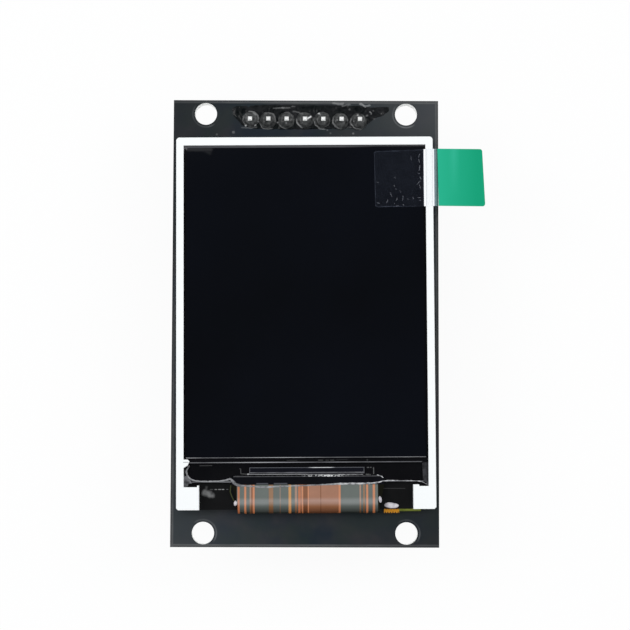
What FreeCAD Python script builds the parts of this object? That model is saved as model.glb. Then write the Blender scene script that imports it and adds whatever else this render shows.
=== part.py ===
"""A small colour display module: a screen in its lit frame, taped to a board with a row of pins.

Millimetres. The board's rear face is z = 0 and the origin is the centre of its four mounting
holes. The pin header is at the +Y end and the screen faces +Z. The display unit sits on the
board a little turned, as it was pressed on by hand, so its pieces share one seat.
"""
import FreeCAD, Part
import os
import re
import Sketcher

VECTOR = FreeCAD.Vector

# Driving sizes, each written once: name, value and what it measures
SIZES = (
    ("board_side_margin", 0.775, "board beside the display, each side"),
    ("board_far_margin", 5.625, "board beyond the display at the header end"),
    ("board_near_margin", 5.225, "board beyond the display at the flex end"),
    ("board_thickness", 1.6, "board laminate"),
    ("mount_hole_diameter", 3.05, "mounting hole"),
    ("mount_inset_across", 4.475, "mounting hole centres from the board's sides"),
    ("mount_wall", 0.4, "board between a mounting hole and the board's end"),
    ("pin_pitch", 2.54, "header pitch"),
    ("pin_count", 7, "header pins"),
    ("pin_width", 0.64, "square pin"),
    ("pin_hole_diameter", 1.0, "plated hole for a pin"),
    ("pin_row_shift", -0.14, "middle of the pin row from the board's middle"),
    ("pin_row_setback", 2.695, "pin row from the board's end"),
    ("pin_reach", 6.0, "pin below the header strip"),
    ("pin_tail", 0.95, "pin above the board's front face"),
    ("pin_taper", 0.2, "chamfer at a pin's ends"),
    ("strip_width", 2.5, "header strip across the row"),
    ("strip_height", 2.54, "header strip below the board"),
    ("strip_notch", 0.55, "break notch between two pins of the strip"),
    ("joint_gap", 0.19, "bare board between two solder joints"),
    ("joint_rise", 0.7, "solder joint above the board"),
    ("joint_shoulder_inset", 0.19, "solder joint's shoulder in from its foot"),
    ("joint_shoulder_rise", 0.39, "solder joint's shoulder above the board"),
    ("joint_crown_diameter", 1.05, "flat top of a solder joint round its pin"),
    ("tape_thickness", 0.5, "foam tape between board and display"),
    ("tape_length", 30.0, "foam tape strip across"),
    ("tape_width", 9.0, "foam tape strip along"),
    ("tape_far_setback", 8.6, "middle of the upper tape strip from the frame's far end"),
    ("tape_near_setback", 15.6, "middle of the lower tape strip from the frame's near end"),
    ("display_turn", 0.46, "display's turn on the board, in degrees"),
    ("frame_side_bar", 1.0, "frame's bar beside the panel"),
    ("frame_corner", 0.45, "rounding of the frame's far corners"),
    ("frame_bevel", 0.25, "bevel of the frame's near corners"),
    ("frame_rise", 0.15, "frame's rim above the glass"),
    ("frame_top_bar", 1.09, "frame's bar at the header end"),
    ("foot_width", 3.08, "foot beside the flex"),
    ("foot_length", 3.09, "foot along"),
    ("foot_gap", 0.62, "foot from the glass"),
    ("foot_lip_width", 0.8, "raised lip on the right foot's inner corner"),
    ("foot_stub_width", 0.25, "raised lip on the left foot's inner corner"),
    ("foot_lip_length", 0.22, "how far a foot's lip stands out"),
    ("claw_width", 0.82, "claw that holds the upper glass down"),
    ("claw_length", 1.14, "claw along"),
    ("claw_waist", 0.55, "claw's leg beside the upper glass, across"),
    ("claw_slope", 0.34, "slant at the claw's near end"),
    ("claw_bevel", 0.25, "slant at the claw's far end"),
    ("claw_setback", 0.17, "claw from the front polariser"),
    ("claw_gap", 0.04, "claw's leg from both glasses"),
    ("ledge_width", 0.9, "ledge in the frame that carries the panel"),
    ("underlay_thickness", 0.1, "reflector and lamp flex under the frame"),
    ("reflector_margin", 0.25, "reflector inside the frame's outline"),
    ("guide_thickness", 0.7, "light guide"),
    ("guide_gap", 0.1, "light guide in its opening"),
    ("sill_length", 3.24, "frame's solid bar behind the lamps"),
    ("film_thickness", 0.06, "diffuser and each prism film"),
    ("rim_tape_thickness", 0.06, "black tape on the ledge"),
    ("rim_tape_width", 1.35, "black tape from the window's edge inwards"),
    ("lamp_count", 4, "lamps along the light guide's end"),
    ("lamp_pitch", 7.2, "lamp spacing"),
    ("lamp_width", 3.0, "lamp across"),
    ("lamp_depth", 0.9, "lamp along"),
    ("lamp_height", 0.6, "lamp height"),
    ("lamp_wall", 0.12, "lamp's case round its window"),
    ("lamp_recess", 0.14, "depth of a lamp's window"),
    ("lamp_gap", 0.08, "lamp in its bay"),
    ("lamp_flex_width", 28.4, "lamp flex across"),
    ("lamp_flex_overlap", 0.45, "lamp flex past the light guide's end"),
    ("lamp_tab_gap", 0.6, "lamp flex's tab from the display flex"),
    ("lamp_tab_width", 5.05, "lamp flex's tab across"),
    ("lamp_tab_reach", 0.38, "lamp flex's tab beyond the frame"),
    ("lamp_tab_shoulder", 0.8, "lamp flex's tab under the frame before it narrows"),
    ("lamp_comb_width", 2.1, "comb of contacts at the tab's left end"),
    ("lamp_comb_reach", 0.2, "comb beyond the tab"),
    ("lamp_comb_groove", 0.14, "groove between two contacts of the comb"),
    ("lamp_comb_groove_length", 0.16, "groove along the contacts"),
    ("lamp_comb_count", 6, "grooves in the comb"),
    ("panel_width", 33.0, "glass across"),
    ("panel_gap", 0.1, "glass in the frame's window"),
    ("array_glass_length", 46.0, "lower glass along"),
    ("array_glass_corner", 0.5, "cut corners of the lower glass"),
    ("glass_thickness", 0.5, "each glass"),
    ("polariser_thickness", 0.13, "each polariser"),
    ("polariser_inset", 0.25, "polariser inside the glass"),
    ("polariser_setback", 0.67, "polariser from the upper glass's near edge"),
    ("cover_film_thickness", 0.05, "protective film"),
    ("cover_film_inset", 0.1, "protective film inside the polariser"),
    ("driver_length", 15.6, "driver chip across"),
    ("driver_width", 0.91, "driver chip along"),
    ("driver_thickness", 0.3, "driver chip"),
    ("driver_shift", 0.1, "driver chip's middle, across"),
    ("driver_setback", 0.62, "driver chip from the upper glass"),
    ("sealant_thickness", 0.12, "clear coat on the glass ledge"),
    ("sealant_inset", 0.25, "clear coat inside the ledge's ends"),
    ("sealant_corner", 1.1, "rounding of the clear coat's left end"),
    ("flex_thickness", 0.1, "display flex"),
    ("flex_width", 19.3, "display flex across its bend"),
    ("flex_shift", 0.35, "display flex's middle, across"),
    ("flex_overhang", 0.55, "display flex beyond the frame"),
    ("flex_bond_width", 20.7, "display flex where it is bonded"),
    ("flex_bond_shift", 0.25, "bonded end's middle, across"),
    ("flex_bond_overlap", 0.92, "display flex on the glass"),
    ("flex_bond_gap", 0.17, "bonded end from the driver chip"),
    ("flex_bond_corner", 0.6, "rounding of the bonded end"),
    ("flex_neck_setback", 0.45, "from the glass's edge to the first of the tracks"),
    ("flex_fold_length", 2.2, "folded-back part of the flex before its tail"),
    ("flex_tail_width", 9.2, "tail under the display"),
    ("flex_tail_length", 3.0, "tail along"),
    ("track_rise", 0.02, "copper track above the flex"),
    ("track_width", 0.24, "signal track"),
    ("ground_track_width", 0.6, "ground track"),
    ("supply_track_width", 3.9, "supply track"),
    ("contact_count", 12, "soldered contacts of the tail"),
    ("contact_pitch", 0.7, "contact spacing"),
    ("contact_width", 0.4, "soldered contact"),
    ("contact_length", 0.9, "soldered contact along"),
    ("tab_film_thickness", 0.06, "pull tab's clear film"),
    ("tab_length", 14.95, "pull tab across"),
    ("tab_width", 7.9, "pull tab along"),
    ("tab_setback", 5.67, "middle of the coloured handle's root from the frame's far end"),
    ("tab_turn", -0.85, "coloured handle's turn on the display, in degrees"),
    ("tab_lean", 0.23, "slant of the pull tab's ends"),
    ("tab_drop", 0.28, "clear film's free end below the handle's line"),
    ("tab_corner", 0.35, "rounding of the pull tab's corners"),
    ("handle_length", 6.25, "coloured handle of the pull tab"),
    ("handle_gap", 0.695, "coloured handle from the frame's side"),
    ("handle_thickness", 0.08, "coloured handle"),
    ("parts_row_setback", 14.875, "row of parts on the rear from the board's far end"),
    ("parts_pitch", 4.2, "spacing of the parts on the rear"),
    ("chip_length", 1.6, "chip resistor or capacitor"),
    ("chip_width", 0.8, "chip resistor or capacitor across"),
    ("resistor_height", 0.45, "chip resistor"),
    ("capacitor_height", 0.8, "chip capacitor"),
    ("chip_terminal", 0.3, "metal end of a chip part"),
    ("chip_terminal_rise", 0.03, "metal end around the chip's body"),
    ("case_length", 2.9, "transistor case along"),
    ("case_width", 1.3, "transistor case across"),
    ("case_height", 1.0, "transistor case"),
    ("case_standoff", 0.08, "transistor case off the board"),
    ("case_bevel", 0.15, "moulding bevel of the case"),
    ("lead_span", 2.4, "transistor case across its leads"),
    ("lead_pitch", 1.9, "outer leads of the transistor case"),
    ("lead_width", 0.4, "lead"),
    ("lead_thickness", 0.13, "lead"),
    ("lead_foot", 0.3, "lead's foot on the board"),
)

# Copper tracks of the display flex: place as a share of its width, and the track's width
TRACKS = (
    (0.018, "track_width"),
    (0.055, "track_width"),
    (0.091, "track_width"),
    (0.114, "track_width"),
    (0.236, "ground_track_width"),
    (0.368, "track_width"),
    (0.410, "track_width"),
    (0.434, "track_width"),
    (0.458, "track_width"),
    (0.608, "supply_track_width"),
    (0.730, "track_width"),
    (0.864, "track_width"),
    (0.888, "track_width"),
    (0.912, "track_width"),
    (0.958, "track_width"),
)

# Parts on the board's rear, from the left, and the height of those that are plain chips
REAR_PARTS = (
    ("backlight_transistor", ""),
    ("chip_resistor_1", "resistor_height"),
    ("chip_resistor_2", "resistor_height"),
    ("chip_resistor_3", "resistor_height"),
    ("voltage_regulator", ""),
    ("chip_capacitor_1", "capacitor_height"),
    ("chip_capacitor_2", "capacitor_height"),
)

# Outlines, from the panel outwards: the frame is moulded round the panel and the board carries it
FRAME_WIDTH = "(panel_width + 2 * (panel_gap + frame_side_bar))"
FRAME_LENGTH = "(frame_top_bar + panel_gap + array_glass_length + foot_gap + foot_length)"
BOARD_WIDTH = f"({FRAME_WIDTH} + 2 * board_side_margin)"
BOARD_LENGTH = f"({FRAME_LENGTH} + board_far_margin + board_near_margin)"
DISPLAY_ALONG = "((board_near_margin - board_far_margin) / 2)"
PARTS_ROW = f"({BOARD_LENGTH} / 2 - parts_row_setback)"

# Header
PIN_ROW = f"({BOARD_LENGTH} / 2 - pin_row_setback)"
STRIP_BOTTOM = "(-strip_height)"
PIN_BOTTOM = "(-strip_height - pin_reach)"

# Levels above the display's seat
GUIDE_TOP = "(underlay_thickness + guide_thickness)"
LEDGE = f"({GUIDE_TOP} + 3 * film_thickness)"
RIM_TAPE_TOP = f"({LEDGE} + rim_tape_thickness)"
ARRAY_BOTTOM = f"({RIM_TAPE_TOP} + polariser_thickness)"
ARRAY_TOP = f"({ARRAY_BOTTOM} + glass_thickness)"
FILTER_TOP = f"({ARRAY_TOP} + glass_thickness)"
POLARISER_TOP = f"({FILTER_TOP} + polariser_thickness)"
COVER_TOP = f"({POLARISER_TOP} + cover_film_thickness)"
TAB_TOP = f"({COVER_TOP} + tab_film_thickness)"
FRAME_TOP = f"({FILTER_TOP} + frame_rise)"

# Edges in the display's own plan
WINDOW_SIDE = "(panel_width / 2 + panel_gap)"
FRAME_SIDE = f"({FRAME_WIDTH} / 2)"
FRAME_FAR = f"({FRAME_LENGTH} / 2)"
FRAME_END = f"(-{FRAME_LENGTH} / 2)"
WINDOW_TOP = f"({FRAME_FAR} - frame_top_bar)"
FOOT_TOP = f"({FRAME_END} + foot_length)"
FOOT_SIDE = f"({FRAME_SIDE} - foot_width)"
LIP_FAR = f"({FOOT_TOP} + foot_lip_length)"
LIP_RIGHT = f"({FOOT_SIDE} + foot_lip_width)"
LIP_LEFT = f"(-{FOOT_SIDE} - foot_stub_width)"
OPENING_SIDE = f"({WINDOW_SIDE} - ledge_width)"
OPENING_TOP = f"({WINDOW_TOP} - ledge_width)"
GUIDE_SIDE = f"({OPENING_SIDE} - guide_gap)"
GUIDE_FAR = f"({OPENING_TOP} - guide_gap)"
BAY_BACK = f"({FRAME_END} + sill_length)"
LAMP_BACK = f"({BAY_BACK} + lamp_gap)"
GUIDE_END = f"({LAMP_BACK} + lamp_depth + lamp_gap)"
GLASS_FAR = f"({WINDOW_TOP} - panel_gap)"
ARRAY_END = f"({GLASS_FAR} - array_glass_length)"
BOND_FAR = f"({ARRAY_END} + flex_bond_overlap)"
DRIVER_FAR = f"({BOND_FAR} + flex_bond_gap + driver_width)"
FILTER_END = f"({DRIVER_FAR} + driver_setback)"
POLARISER_SIDE = "(panel_width / 2 - polariser_inset)"
POLARISER_FAR = f"({GLASS_FAR} - polariser_inset)"
POLARISER_END = f"({FILTER_END} + polariser_setback)"
NECK = f"({ARRAY_END} - flex_neck_setback)"

# The display flex folds round a half circle from the glass down to the board
FLEX_LEFT = "(flex_shift - flex_width / 2)"
FLEX_RIGHT = "(flex_shift + flex_width / 2)"
FLEX_UPPER = f"({ARRAY_TOP} + flex_thickness)"
FLEX_LOWER = "(track_rise - tape_thickness)"
FOLD_RADIUS = f"(({FLEX_UPPER} - {FLEX_LOWER}) / 2)"
FOLD_LEVEL = f"(({FLEX_UPPER} + {FLEX_LOWER}) / 2)"
FOLD_ALONG = f"({FRAME_END} - flex_overhang + track_rise + {FOLD_RADIUS})"
TAIL_START = f"({FOLD_ALONG} + flex_fold_length)"
TAIL_END = f"({TAIL_START} + flex_tail_length)"

os.makedirs("parts", exist_ok=True)
document = FreeCAD.newDocument("display_module")
sheet = document.addObject("Spreadsheet::Sheet", "Sizes")
for row, (alias, amount, meaning) in enumerate(SIZES, 1):
    sheet.set(f"A{row}", alias)
    sheet.set(f"B{row}", str(amount))
    sheet.set(f"C{row}", meaning)
    sheet.setAlias(f"B{row}", alias)
document.recompute()

nodes = []


def spell(formula):
    """Point each size that a formula names at its cell."""
    return re.sub(r"[a-z]+(?:_[a-z]+)+", lambda word: "Sizes." + word.group(), formula)


def measure(formula):
    """The formula's value with the sheet as it stands."""
    return float(sheet.evalExpression(spell(formula)))


def count(alias):
    return int(round(measure(alias)))


# Sketch and feature helpers


def new_body(label, seat=""):
    """A sub-part, on the display's seat where one is named."""
    body = document.addObject("PartDesign::Body", label)
    body.Label = label
    if seat:
        body.setExpression("Placement", f"{seat}.Placement")
    nodes.append(body)
    return body


def new_sketch(body, name, height="0", plane="XY_Plane", rise="0"):
    """A sketch on one of the body's own planes, moved out by height and up in its plane by rise."""
    sketch = body.newObject("Sketcher::SketchObject", f"{body.Name}_{name}")
    support = [item for item in body.Origin.OriginFeatures if item.Role == plane][0]
    sketch.AttachmentSupport = [(support, "")]
    sketch.MapMode = "FlatFace"
    sketch.setExpression("AttachmentOffset.Base.z", spell(height))
    sketch.setExpression("AttachmentOffset.Base.y", spell(rise))
    return sketch


def hold(sketch, name, kind, formula, *where):
    """Add a driving dimension bound to a formula."""
    index = sketch.addConstraint(Sketcher.Constraint(kind, *where, measure(formula)))
    sketch.renameConstraint(index, name)
    sketch.setExpression(f"Constraints.{name}", spell(formula))


def draw_outline(sketch, corners, prefix="corner"):
    """A closed outline of straight sides through corners, each held from the sketch's origin."""
    points = [VECTOR(measure(x), measure(y), 0) for x, y in corners]
    first = sketch.GeometryCount
    total = len(corners)
    for index in range(total):
        sketch.addGeometry(Part.LineSegment(points[index], points[(index + 1) % total]))
    for index, (x, y) in enumerate(corners):
        side = first + index
        following = first + (index + 1) % total
        sketch.addConstraint(Sketcher.Constraint("Coincident", side, 2, following, 1))
        hold(sketch, f"{prefix}_{index}_x", "DistanceX", x, -1, 1, side, 1)
        hold(sketch, f"{prefix}_{index}_y", "DistanceY", y, -1, 1, side, 1)
    return sketch


def draw_rectangle(sketch, left, right, near, far, prefix="corner"):
    corners = ((left, near), (right, near), (right, far), (left, far))
    return draw_outline(sketch, corners, prefix)


def draw_circle(sketch, x, y, diameter, prefix="circle"):
    centre = VECTOR(measure(x), measure(y), 0)
    ring = sketch.addGeometry(Part.Circle(centre, VECTOR(0, 0, 1), measure(diameter) / 2))
    hold(sketch, f"{prefix}_x", "DistanceX", x, -1, 1, ring, 3)
    hold(sketch, f"{prefix}_y", "DistanceY", y, -1, 1, ring, 3)
    hold(sketch, f"{prefix}_diameter", "Diameter", diameter, ring)
    return sketch


def pad(body, sketch, length, name="pad", centred=False, backwards=False):
    """Raise a sketch by a length, to both sides of its plane or backwards where asked."""
    feature = body.newObject("PartDesign::Pad", f"{body.Name}_{name}")
    feature.Profile = sketch
    feature.Midplane = centred
    feature.Reversed = backwards
    feature.setExpression("Length", spell(length))
    document.recompute()
    return feature


def pocket(body, sketch, depth="", name="pocket", upwards=False):
    """Cut a sketch down into the body, or right through where no depth is given."""
    before = body.Shape.Volume
    feature = body.newObject("PartDesign::Pocket", f"{body.Name}_{name}")
    feature.Profile = sketch
    feature.Reversed = upwards
    if depth:
        feature.setExpression("Length", spell(depth))
    else:
        feature.Type = "ThroughAll"
    document.recompute()
    if body.Shape.Volume >= before:
        raise ValueError(f"{feature.Name} cuts nothing")
    return feature


def repeat(body, feature, role, spacing, occurrences, name="row"):
    """Repeat a feature along one of the body's own axes."""
    pattern = body.newObject("PartDesign::LinearPattern", f"{body.Name}_{name}")
    axis = [item for item in body.Origin.OriginFeatures if item.Role == role][0]
    pattern.Originals = [feature]
    pattern.Direction = (axis, [""])
    pattern.Mode = "Spacing"
    pattern.setExpression("Offset", spell(spacing))
    pattern.setExpression("Occurrences", spell(occurrences))
    body.Tip = pattern
    document.recompute()
    return pattern


def edges_where(feature, test):
    """Names of the edges whose middle and direction pass a test."""
    names = []
    for index, edge in enumerate(feature.Shape.Edges, 1):
        middle = edge.valueAt((edge.FirstParameter + edge.LastParameter) / 2)
        way = edge.tangentAt(edge.FirstParameter)
        if edge.Curve.TypeId == "Part::GeomLine" and test(middle, way):
            names.append(f"Edge{index}")
    return names


def dress(body, feature, kind, size, test, name):
    """Round or bevel the edges that pass a test."""
    made = body.newObject(f"PartDesign::{kind}", f"{body.Name}_{name}")
    made.Base = (feature, edges_where(feature, test))
    made.setExpression("Radius" if kind == "Fillet" else "Size", spell(size))
    document.recompute()
    return made


def upright(way):
    return abs(way.z) > 0.99


def far_upright(middle, way):
    return upright(way) and middle.y > 0


def near_upright(middle, way):
    return upright(way) and middle.y < 0


def sheet_piece(label, left, right, near, far, height, thickness, seat="display_seat"):
    """A flat rectangular film, glass or tape."""
    body = new_body(label, seat)
    outline = new_sketch(body, "outline", height)
    draw_rectangle(outline, left, right, near, far)
    pad(body, outline, thickness)
    return body


def mirrored(value):
    return f"(-{value})"


# The seat that all the display's pieces share, on top of the foam tape
display_seat = document.addObject("Part::LocalCoordinateSystem", "display_seat")
display_seat.setExpression(
    "Placement",
    f"create(<<placement>>; create(<<vector>>; 0; {spell(DISPLAY_ALONG)};"
    " Sizes.board_thickness + Sizes.tape_thickness);"
    " create(<<rotation>>; create(<<vector>>; 0; 0; 1); Sizes.display_turn))",
)


# Board and header


def circuit_board():
    """Drilled laminate with four mounting holes and a row of pin holes."""
    body = new_body("circuit_board")
    outline = new_sketch(body, "outline")
    side = f"({BOARD_WIDTH} / 2)"
    end = f"({BOARD_LENGTH} / 2)"
    draw_rectangle(outline, mirrored(side), side, mirrored(end), end)
    pad(body, outline, "board_thickness")
    mounts = new_sketch(body, "mounts", "board_thickness")
    across = f"({side} - mount_inset_across)"
    along = f"({end} - mount_wall - mount_hole_diameter / 2)"
    draw_circle(mounts, across, along, "mount_hole_diameter", "far_right")
    draw_circle(mounts, mirrored(across), along, "mount_hole_diameter", "far_left")
    draw_circle(mounts, across, mirrored(along), "mount_hole_diameter", "near_right")
    draw_circle(mounts, mirrored(across), mirrored(along), "mount_hole_diameter", "near_left")
    pocket(body, mounts, name="mount_holes")
    first_pin = new_sketch(body, "first_pin", "board_thickness")
    draw_circle(first_pin, pin_across(0), PIN_ROW, "pin_hole_diameter")
    drilled = pocket(body, first_pin, name="pin_hole")
    repeat(body, drilled, "X_Axis", "pin_pitch", "pin_count")


def pin_across(index):
    """Where a pin stands along the row."""
    return f"(pin_row_shift + ({index} - (pin_count - 1) / 2) * pin_pitch)"


def header_strip():
    """Moulded strip with a break notch between pins and a tight square hole for each pin."""
    body = new_body("header_strip")
    outline = new_sketch(body, "outline", STRIP_BOTTOM)
    left = f"{pin_across(0)} - pin_pitch / 2"
    right = f"{pin_across(0)} + (pin_count - 1 / 2) * pin_pitch"
    near = f"{PIN_ROW} - strip_width / 2"
    far = f"{PIN_ROW} + strip_width / 2"
    draw_rectangle(outline, left, right, near, far)
    pad(body, outline, "strip_height")
    notches = new_sketch(body, "notches", "0")
    for name, edge, inward in (("near", near, 1), ("far", far, -1)):
        tip = f"{edge} + {inward} * strip_notch"
        mouth = ((f"{left} - strip_notch", edge), (f"{left} + strip_notch", edge), (left, tip))
        draw_outline(notches, mouth if inward > 0 else mouth[::-1], name)
    cut = pocket(body, notches, name="notch")
    repeat(body, cut, "X_Axis", "pin_pitch", "pin_count + 1", "notches_row")
    hole = new_sketch(body, "hole", "0")
    sides = (f"{pin_across(0)} - pin_width / 2", f"{pin_across(0)} + pin_width / 2")
    draw_rectangle(hole, *sides, f"{PIN_ROW} - pin_width / 2", f"{PIN_ROW} + pin_width / 2")
    drilled = pocket(body, hole, name="pin_hole")
    repeat(body, drilled, "X_Axis", "pin_pitch", "pin_count", "holes_row")


def header_pin(index):
    """Square pin, tapered at both ends."""
    body = new_body(f"header_pin_{index + 1}")
    section = new_sketch(body, "section", PIN_BOTTOM)
    sides = (f"{pin_across(index)} - pin_width / 2", f"{pin_across(index)} + pin_width / 2")
    draw_rectangle(section, *sides, f"{PIN_ROW} - pin_width / 2", f"{PIN_ROW} + pin_width / 2")
    shank = pad(body, section, f"board_thickness + pin_tail - {PIN_BOTTOM}")
    dress(body, shank, "Chamfer", "pin_taper", lambda middle, way: abs(way.z) < 0.01, "taper")


def solder_joint(index):
    """Solder collar that fills the hole round its pin."""
    body = new_body(f"solder_joint_{index + 1}")
    body.setExpression("Placement.Base.x", spell(pin_across(index)))
    body.setExpression("Placement.Base.y", spell(PIN_ROW))
    section = new_sketch(body, "section", plane="XZ_Plane")
    crown = "board_thickness + joint_rise"
    foot = "((pin_pitch - joint_gap) / 2)"
    corners = (
        ("0", "0"),
        ("pin_hole_diameter / 2", "0"),
        ("pin_hole_diameter / 2", "board_thickness"),
        (foot, "board_thickness"),
        (f"{foot} - joint_shoulder_inset", "board_thickness + joint_shoulder_rise"),
        ("joint_crown_diameter / 2", crown),
        ("0", crown),
    )
    draw_outline(section, corners)
    turned = body.newObject("PartDesign::Revolution", f"{body.Name}_collar")
    turned.Profile = section
    turned.ReferenceAxis = (section, ["V_Axis"])
    turned.Angle = 360
    document.recompute()
    hole = new_sketch(body, "hole", crown)
    draw_rectangle(hole, "-pin_width / 2", "pin_width / 2", "-pin_width / 2", "pin_width / 2")
    pocket(body, hole, name="pin_hole")


# Light frame and what lies in it


def light_frame():
    """Moulded white frame: window, ledge, light opening, lamp bays, sill, feet and one claw."""
    body = new_body("light_frame", "display_seat")
    outline = new_sketch(body, "outline", "underlay_thickness")
    draw_rectangle(outline, mirrored(FRAME_SIDE), FRAME_SIDE, FRAME_END, FRAME_FAR)
    block = pad(body, outline, f"{FRAME_TOP} - underlay_thickness")
    rounded = dress(body, block, "Fillet", "frame_corner", far_upright, "far_corners")
    dress(body, rounded, "Chamfer", "frame_bevel", near_upright, "near_corners")
    window = new_sketch(body, "window", FRAME_TOP)
    draw_rectangle(window, mirrored(WINDOW_SIDE), WINDOW_SIDE, FOOT_TOP, WINDOW_TOP)
    pocket(body, window, f"{FRAME_TOP} - {LEDGE}", "window")
    well = new_sketch(body, "well", FRAME_TOP)
    draw_rectangle(well, mirrored(FOOT_SIDE), FOOT_SIDE, f"{FRAME_END} - foot_length", FOOT_TOP)
    pocket(body, well, f"{FRAME_TOP} - {LEDGE}", "well")
    opening = new_sketch(body, "opening", LEDGE)
    draw_rectangle(opening, mirrored(OPENING_SIDE), OPENING_SIDE, GUIDE_END, OPENING_TOP)
    pocket(body, opening, name="opening")
    bay = new_sketch(body, "bay", LEDGE)
    half = "(lamp_width / 2 + lamp_gap)"
    middle = lamp_across(0)
    draw_rectangle(bay, f"{middle} - {half}", f"{middle} + {half}", BAY_BACK, GUIDE_END)
    cut = pocket(body, bay, name="lamp_bay")
    repeat(body, cut, "X_Axis", "lamp_pitch", "lamp_count", "lamp_bays")
    raise_claw(body)
    raise_lips(body)


def raise_claw(body):
    """Claw on the left wall: a lug over the upper glass and a leg down beside its near edge."""
    wall = mirrored(WINDOW_SIDE)
    root = f"({wall} - panel_gap)"
    waist = f"({wall} + claw_waist)"
    tip = f"({wall} + claw_width)"
    high = f"({POLARISER_END} - claw_setback)"
    low = f"({high} - claw_length)"
    lug = new_sketch(body, "lug", FILTER_TOP)
    corners = (
        (root, low),
        (wall, low),
        (waist, f"{low} + claw_slope"),
        (tip, f"{high} - claw_bevel"),
        (f"{tip} - claw_bevel", high),
        (root, high),
    )
    draw_outline(lug, corners)
    pad(body, lug, f"{FRAME_TOP} - {FILTER_TOP}", "lug")
    leg = new_sketch(body, "leg", f"{ARRAY_TOP} + claw_gap")
    corners = (
        (root, low),
        (wall, low),
        (waist, f"{low} + claw_slope"),
        (waist, f"{FILTER_END} - claw_gap"),
        (root, f"{FILTER_END} - claw_gap"),
    )
    draw_outline(leg, corners)
    pad(body, leg, f"{FILTER_TOP} - {ARRAY_TOP} - claw_gap", "leg")


def raise_lips(body):
    """Low lips on the inner corners of both feet, towards the glass."""
    lips = new_sketch(body, "lips", LEDGE)
    draw_rectangle(lips, FOOT_SIDE, LIP_RIGHT, FOOT_TOP, LIP_FAR, "right")
    draw_rectangle(lips, LIP_LEFT, mirrored(FOOT_SIDE), FOOT_TOP, LIP_FAR, "left")
    pad(body, lips, f"{FRAME_TOP} - {LEDGE}", "lips")


def lamp_across(index):
    return f"(({index} - (lamp_count - 1) / 2) * lamp_pitch)"


def lamp(index):
    """Side-facing lamp with a shallow window towards the light guide."""
    body = new_body(f"lamp_{index + 1}", "display_seat")
    outline = new_sketch(body, "outline", "underlay_thickness")
    left = f"{lamp_across(index)} - lamp_width / 2"
    right = f"{lamp_across(index)} + lamp_width / 2"
    face = f"{LAMP_BACK} + lamp_depth"
    draw_rectangle(outline, left, right, LAMP_BACK, face)
    pad(body, outline, "lamp_height")
    window = new_sketch(body, "window", "underlay_thickness + lamp_height - lamp_wall")
    sides = (f"{left} + lamp_wall", f"{right} - lamp_wall")
    draw_rectangle(window, *sides, f"{face} - lamp_recess", face)
    pocket(body, window, "lamp_height - 2 * lamp_wall", "window")


def lamp_flex():
    """Strip under the frame's near end that carries the lamps; its tab shows beyond the frame."""
    body = new_body("lamp_flex", "display_seat")
    outline = new_sketch(body, "outline")
    side = "lamp_flex_width / 2"
    tab_end = f"({FRAME_END} - lamp_tab_reach)"
    step = f"({FRAME_END} + lamp_tab_reach)"
    comb_end = f"({tab_end} - lamp_comb_reach)"
    left = f"({FLEX_RIGHT} + lamp_tab_gap)"
    right = f"({left} + lamp_tab_width)"
    corners = (
        (f"-{side}", step),
        (left, step),
        (left, comb_end),
        (f"{left} + lamp_comb_width", comb_end),
        (f"{left} + lamp_comb_width", tab_end),
        (right, tab_end),
        (right, f"{step} + lamp_tab_shoulder"),
        (side, f"{step} + lamp_tab_shoulder"),
        (side, f"{GUIDE_END} + lamp_flex_overlap"),
        (f"-{side}", f"{GUIDE_END} + lamp_flex_overlap"),
    )
    draw_outline(outline, corners)
    pad(body, outline, "underlay_thickness")
    groove = new_sketch(body, "groove", "underlay_thickness")
    pitch = "(lamp_comb_width / lamp_comb_count)"
    middle = f"{left} + {pitch} / 2"
    sides = (f"{middle} - lamp_comb_groove / 2", f"{middle} + lamp_comb_groove / 2")
    draw_rectangle(groove, *sides, comb_end, f"{comb_end} + lamp_comb_groove_length")
    cut = pocket(body, groove, name="groove")
    repeat(body, cut, "X_Axis", pitch, "lamp_comb_count", "comb")


def rim_tape():
    """Die-cut black tape: it fills the ledge round the light opening and the sill between the feet."""
    body = new_body("rim_tape", "display_seat")
    outline = new_sketch(body, "outline", LEDGE)
    corners = (
        (mirrored(FOOT_SIDE), FRAME_END),
        (FOOT_SIDE, FRAME_END),
        (FOOT_SIDE, LIP_FAR),
        (LIP_RIGHT, LIP_FAR),
        (LIP_RIGHT, FOOT_TOP),
        (WINDOW_SIDE, FOOT_TOP),
        (WINDOW_SIDE, WINDOW_TOP),
        (mirrored(WINDOW_SIDE), WINDOW_TOP),
        (mirrored(WINDOW_SIDE), FOOT_TOP),
        (LIP_LEFT, FOOT_TOP),
        (LIP_LEFT, LIP_FAR),
        (mirrored(FOOT_SIDE), LIP_FAR),
    )
    draw_outline(outline, corners)
    pad(body, outline, "rim_tape_thickness")
    light = new_sketch(body, "light", RIM_TAPE_TOP)
    edge = f"({WINDOW_SIDE} - rim_tape_width)"
    far = f"{WINDOW_TOP} - rim_tape_width"
    draw_rectangle(light, mirrored(edge), edge, POLARISER_END, far)
    pocket(body, light, name="light")


def backlight():
    """Reflector, light guide and the three films on it."""
    side = f"({FRAME_SIDE} - reflector_margin)"
    near = f"{GUIDE_END} + lamp_flex_overlap + guide_gap"
    far = f"{FRAME_FAR} - reflector_margin"
    sheet_piece("reflector_sheet", mirrored(side), side, near, far, "0", "underlay_thickness")
    guide = (mirrored(GUIDE_SIDE), GUIDE_SIDE, GUIDE_END, GUIDE_FAR)
    sheet_piece("light_guide", *guide, "underlay_thickness", "guide_thickness")
    for layer, label in enumerate(("diffuser_sheet", "prism_sheet_lower", "prism_sheet_upper")):
        height = f"{GUIDE_TOP} + {layer} * film_thickness"
        sheet_piece(label, *guide, height, "film_thickness")


# Liquid crystal panel


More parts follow.
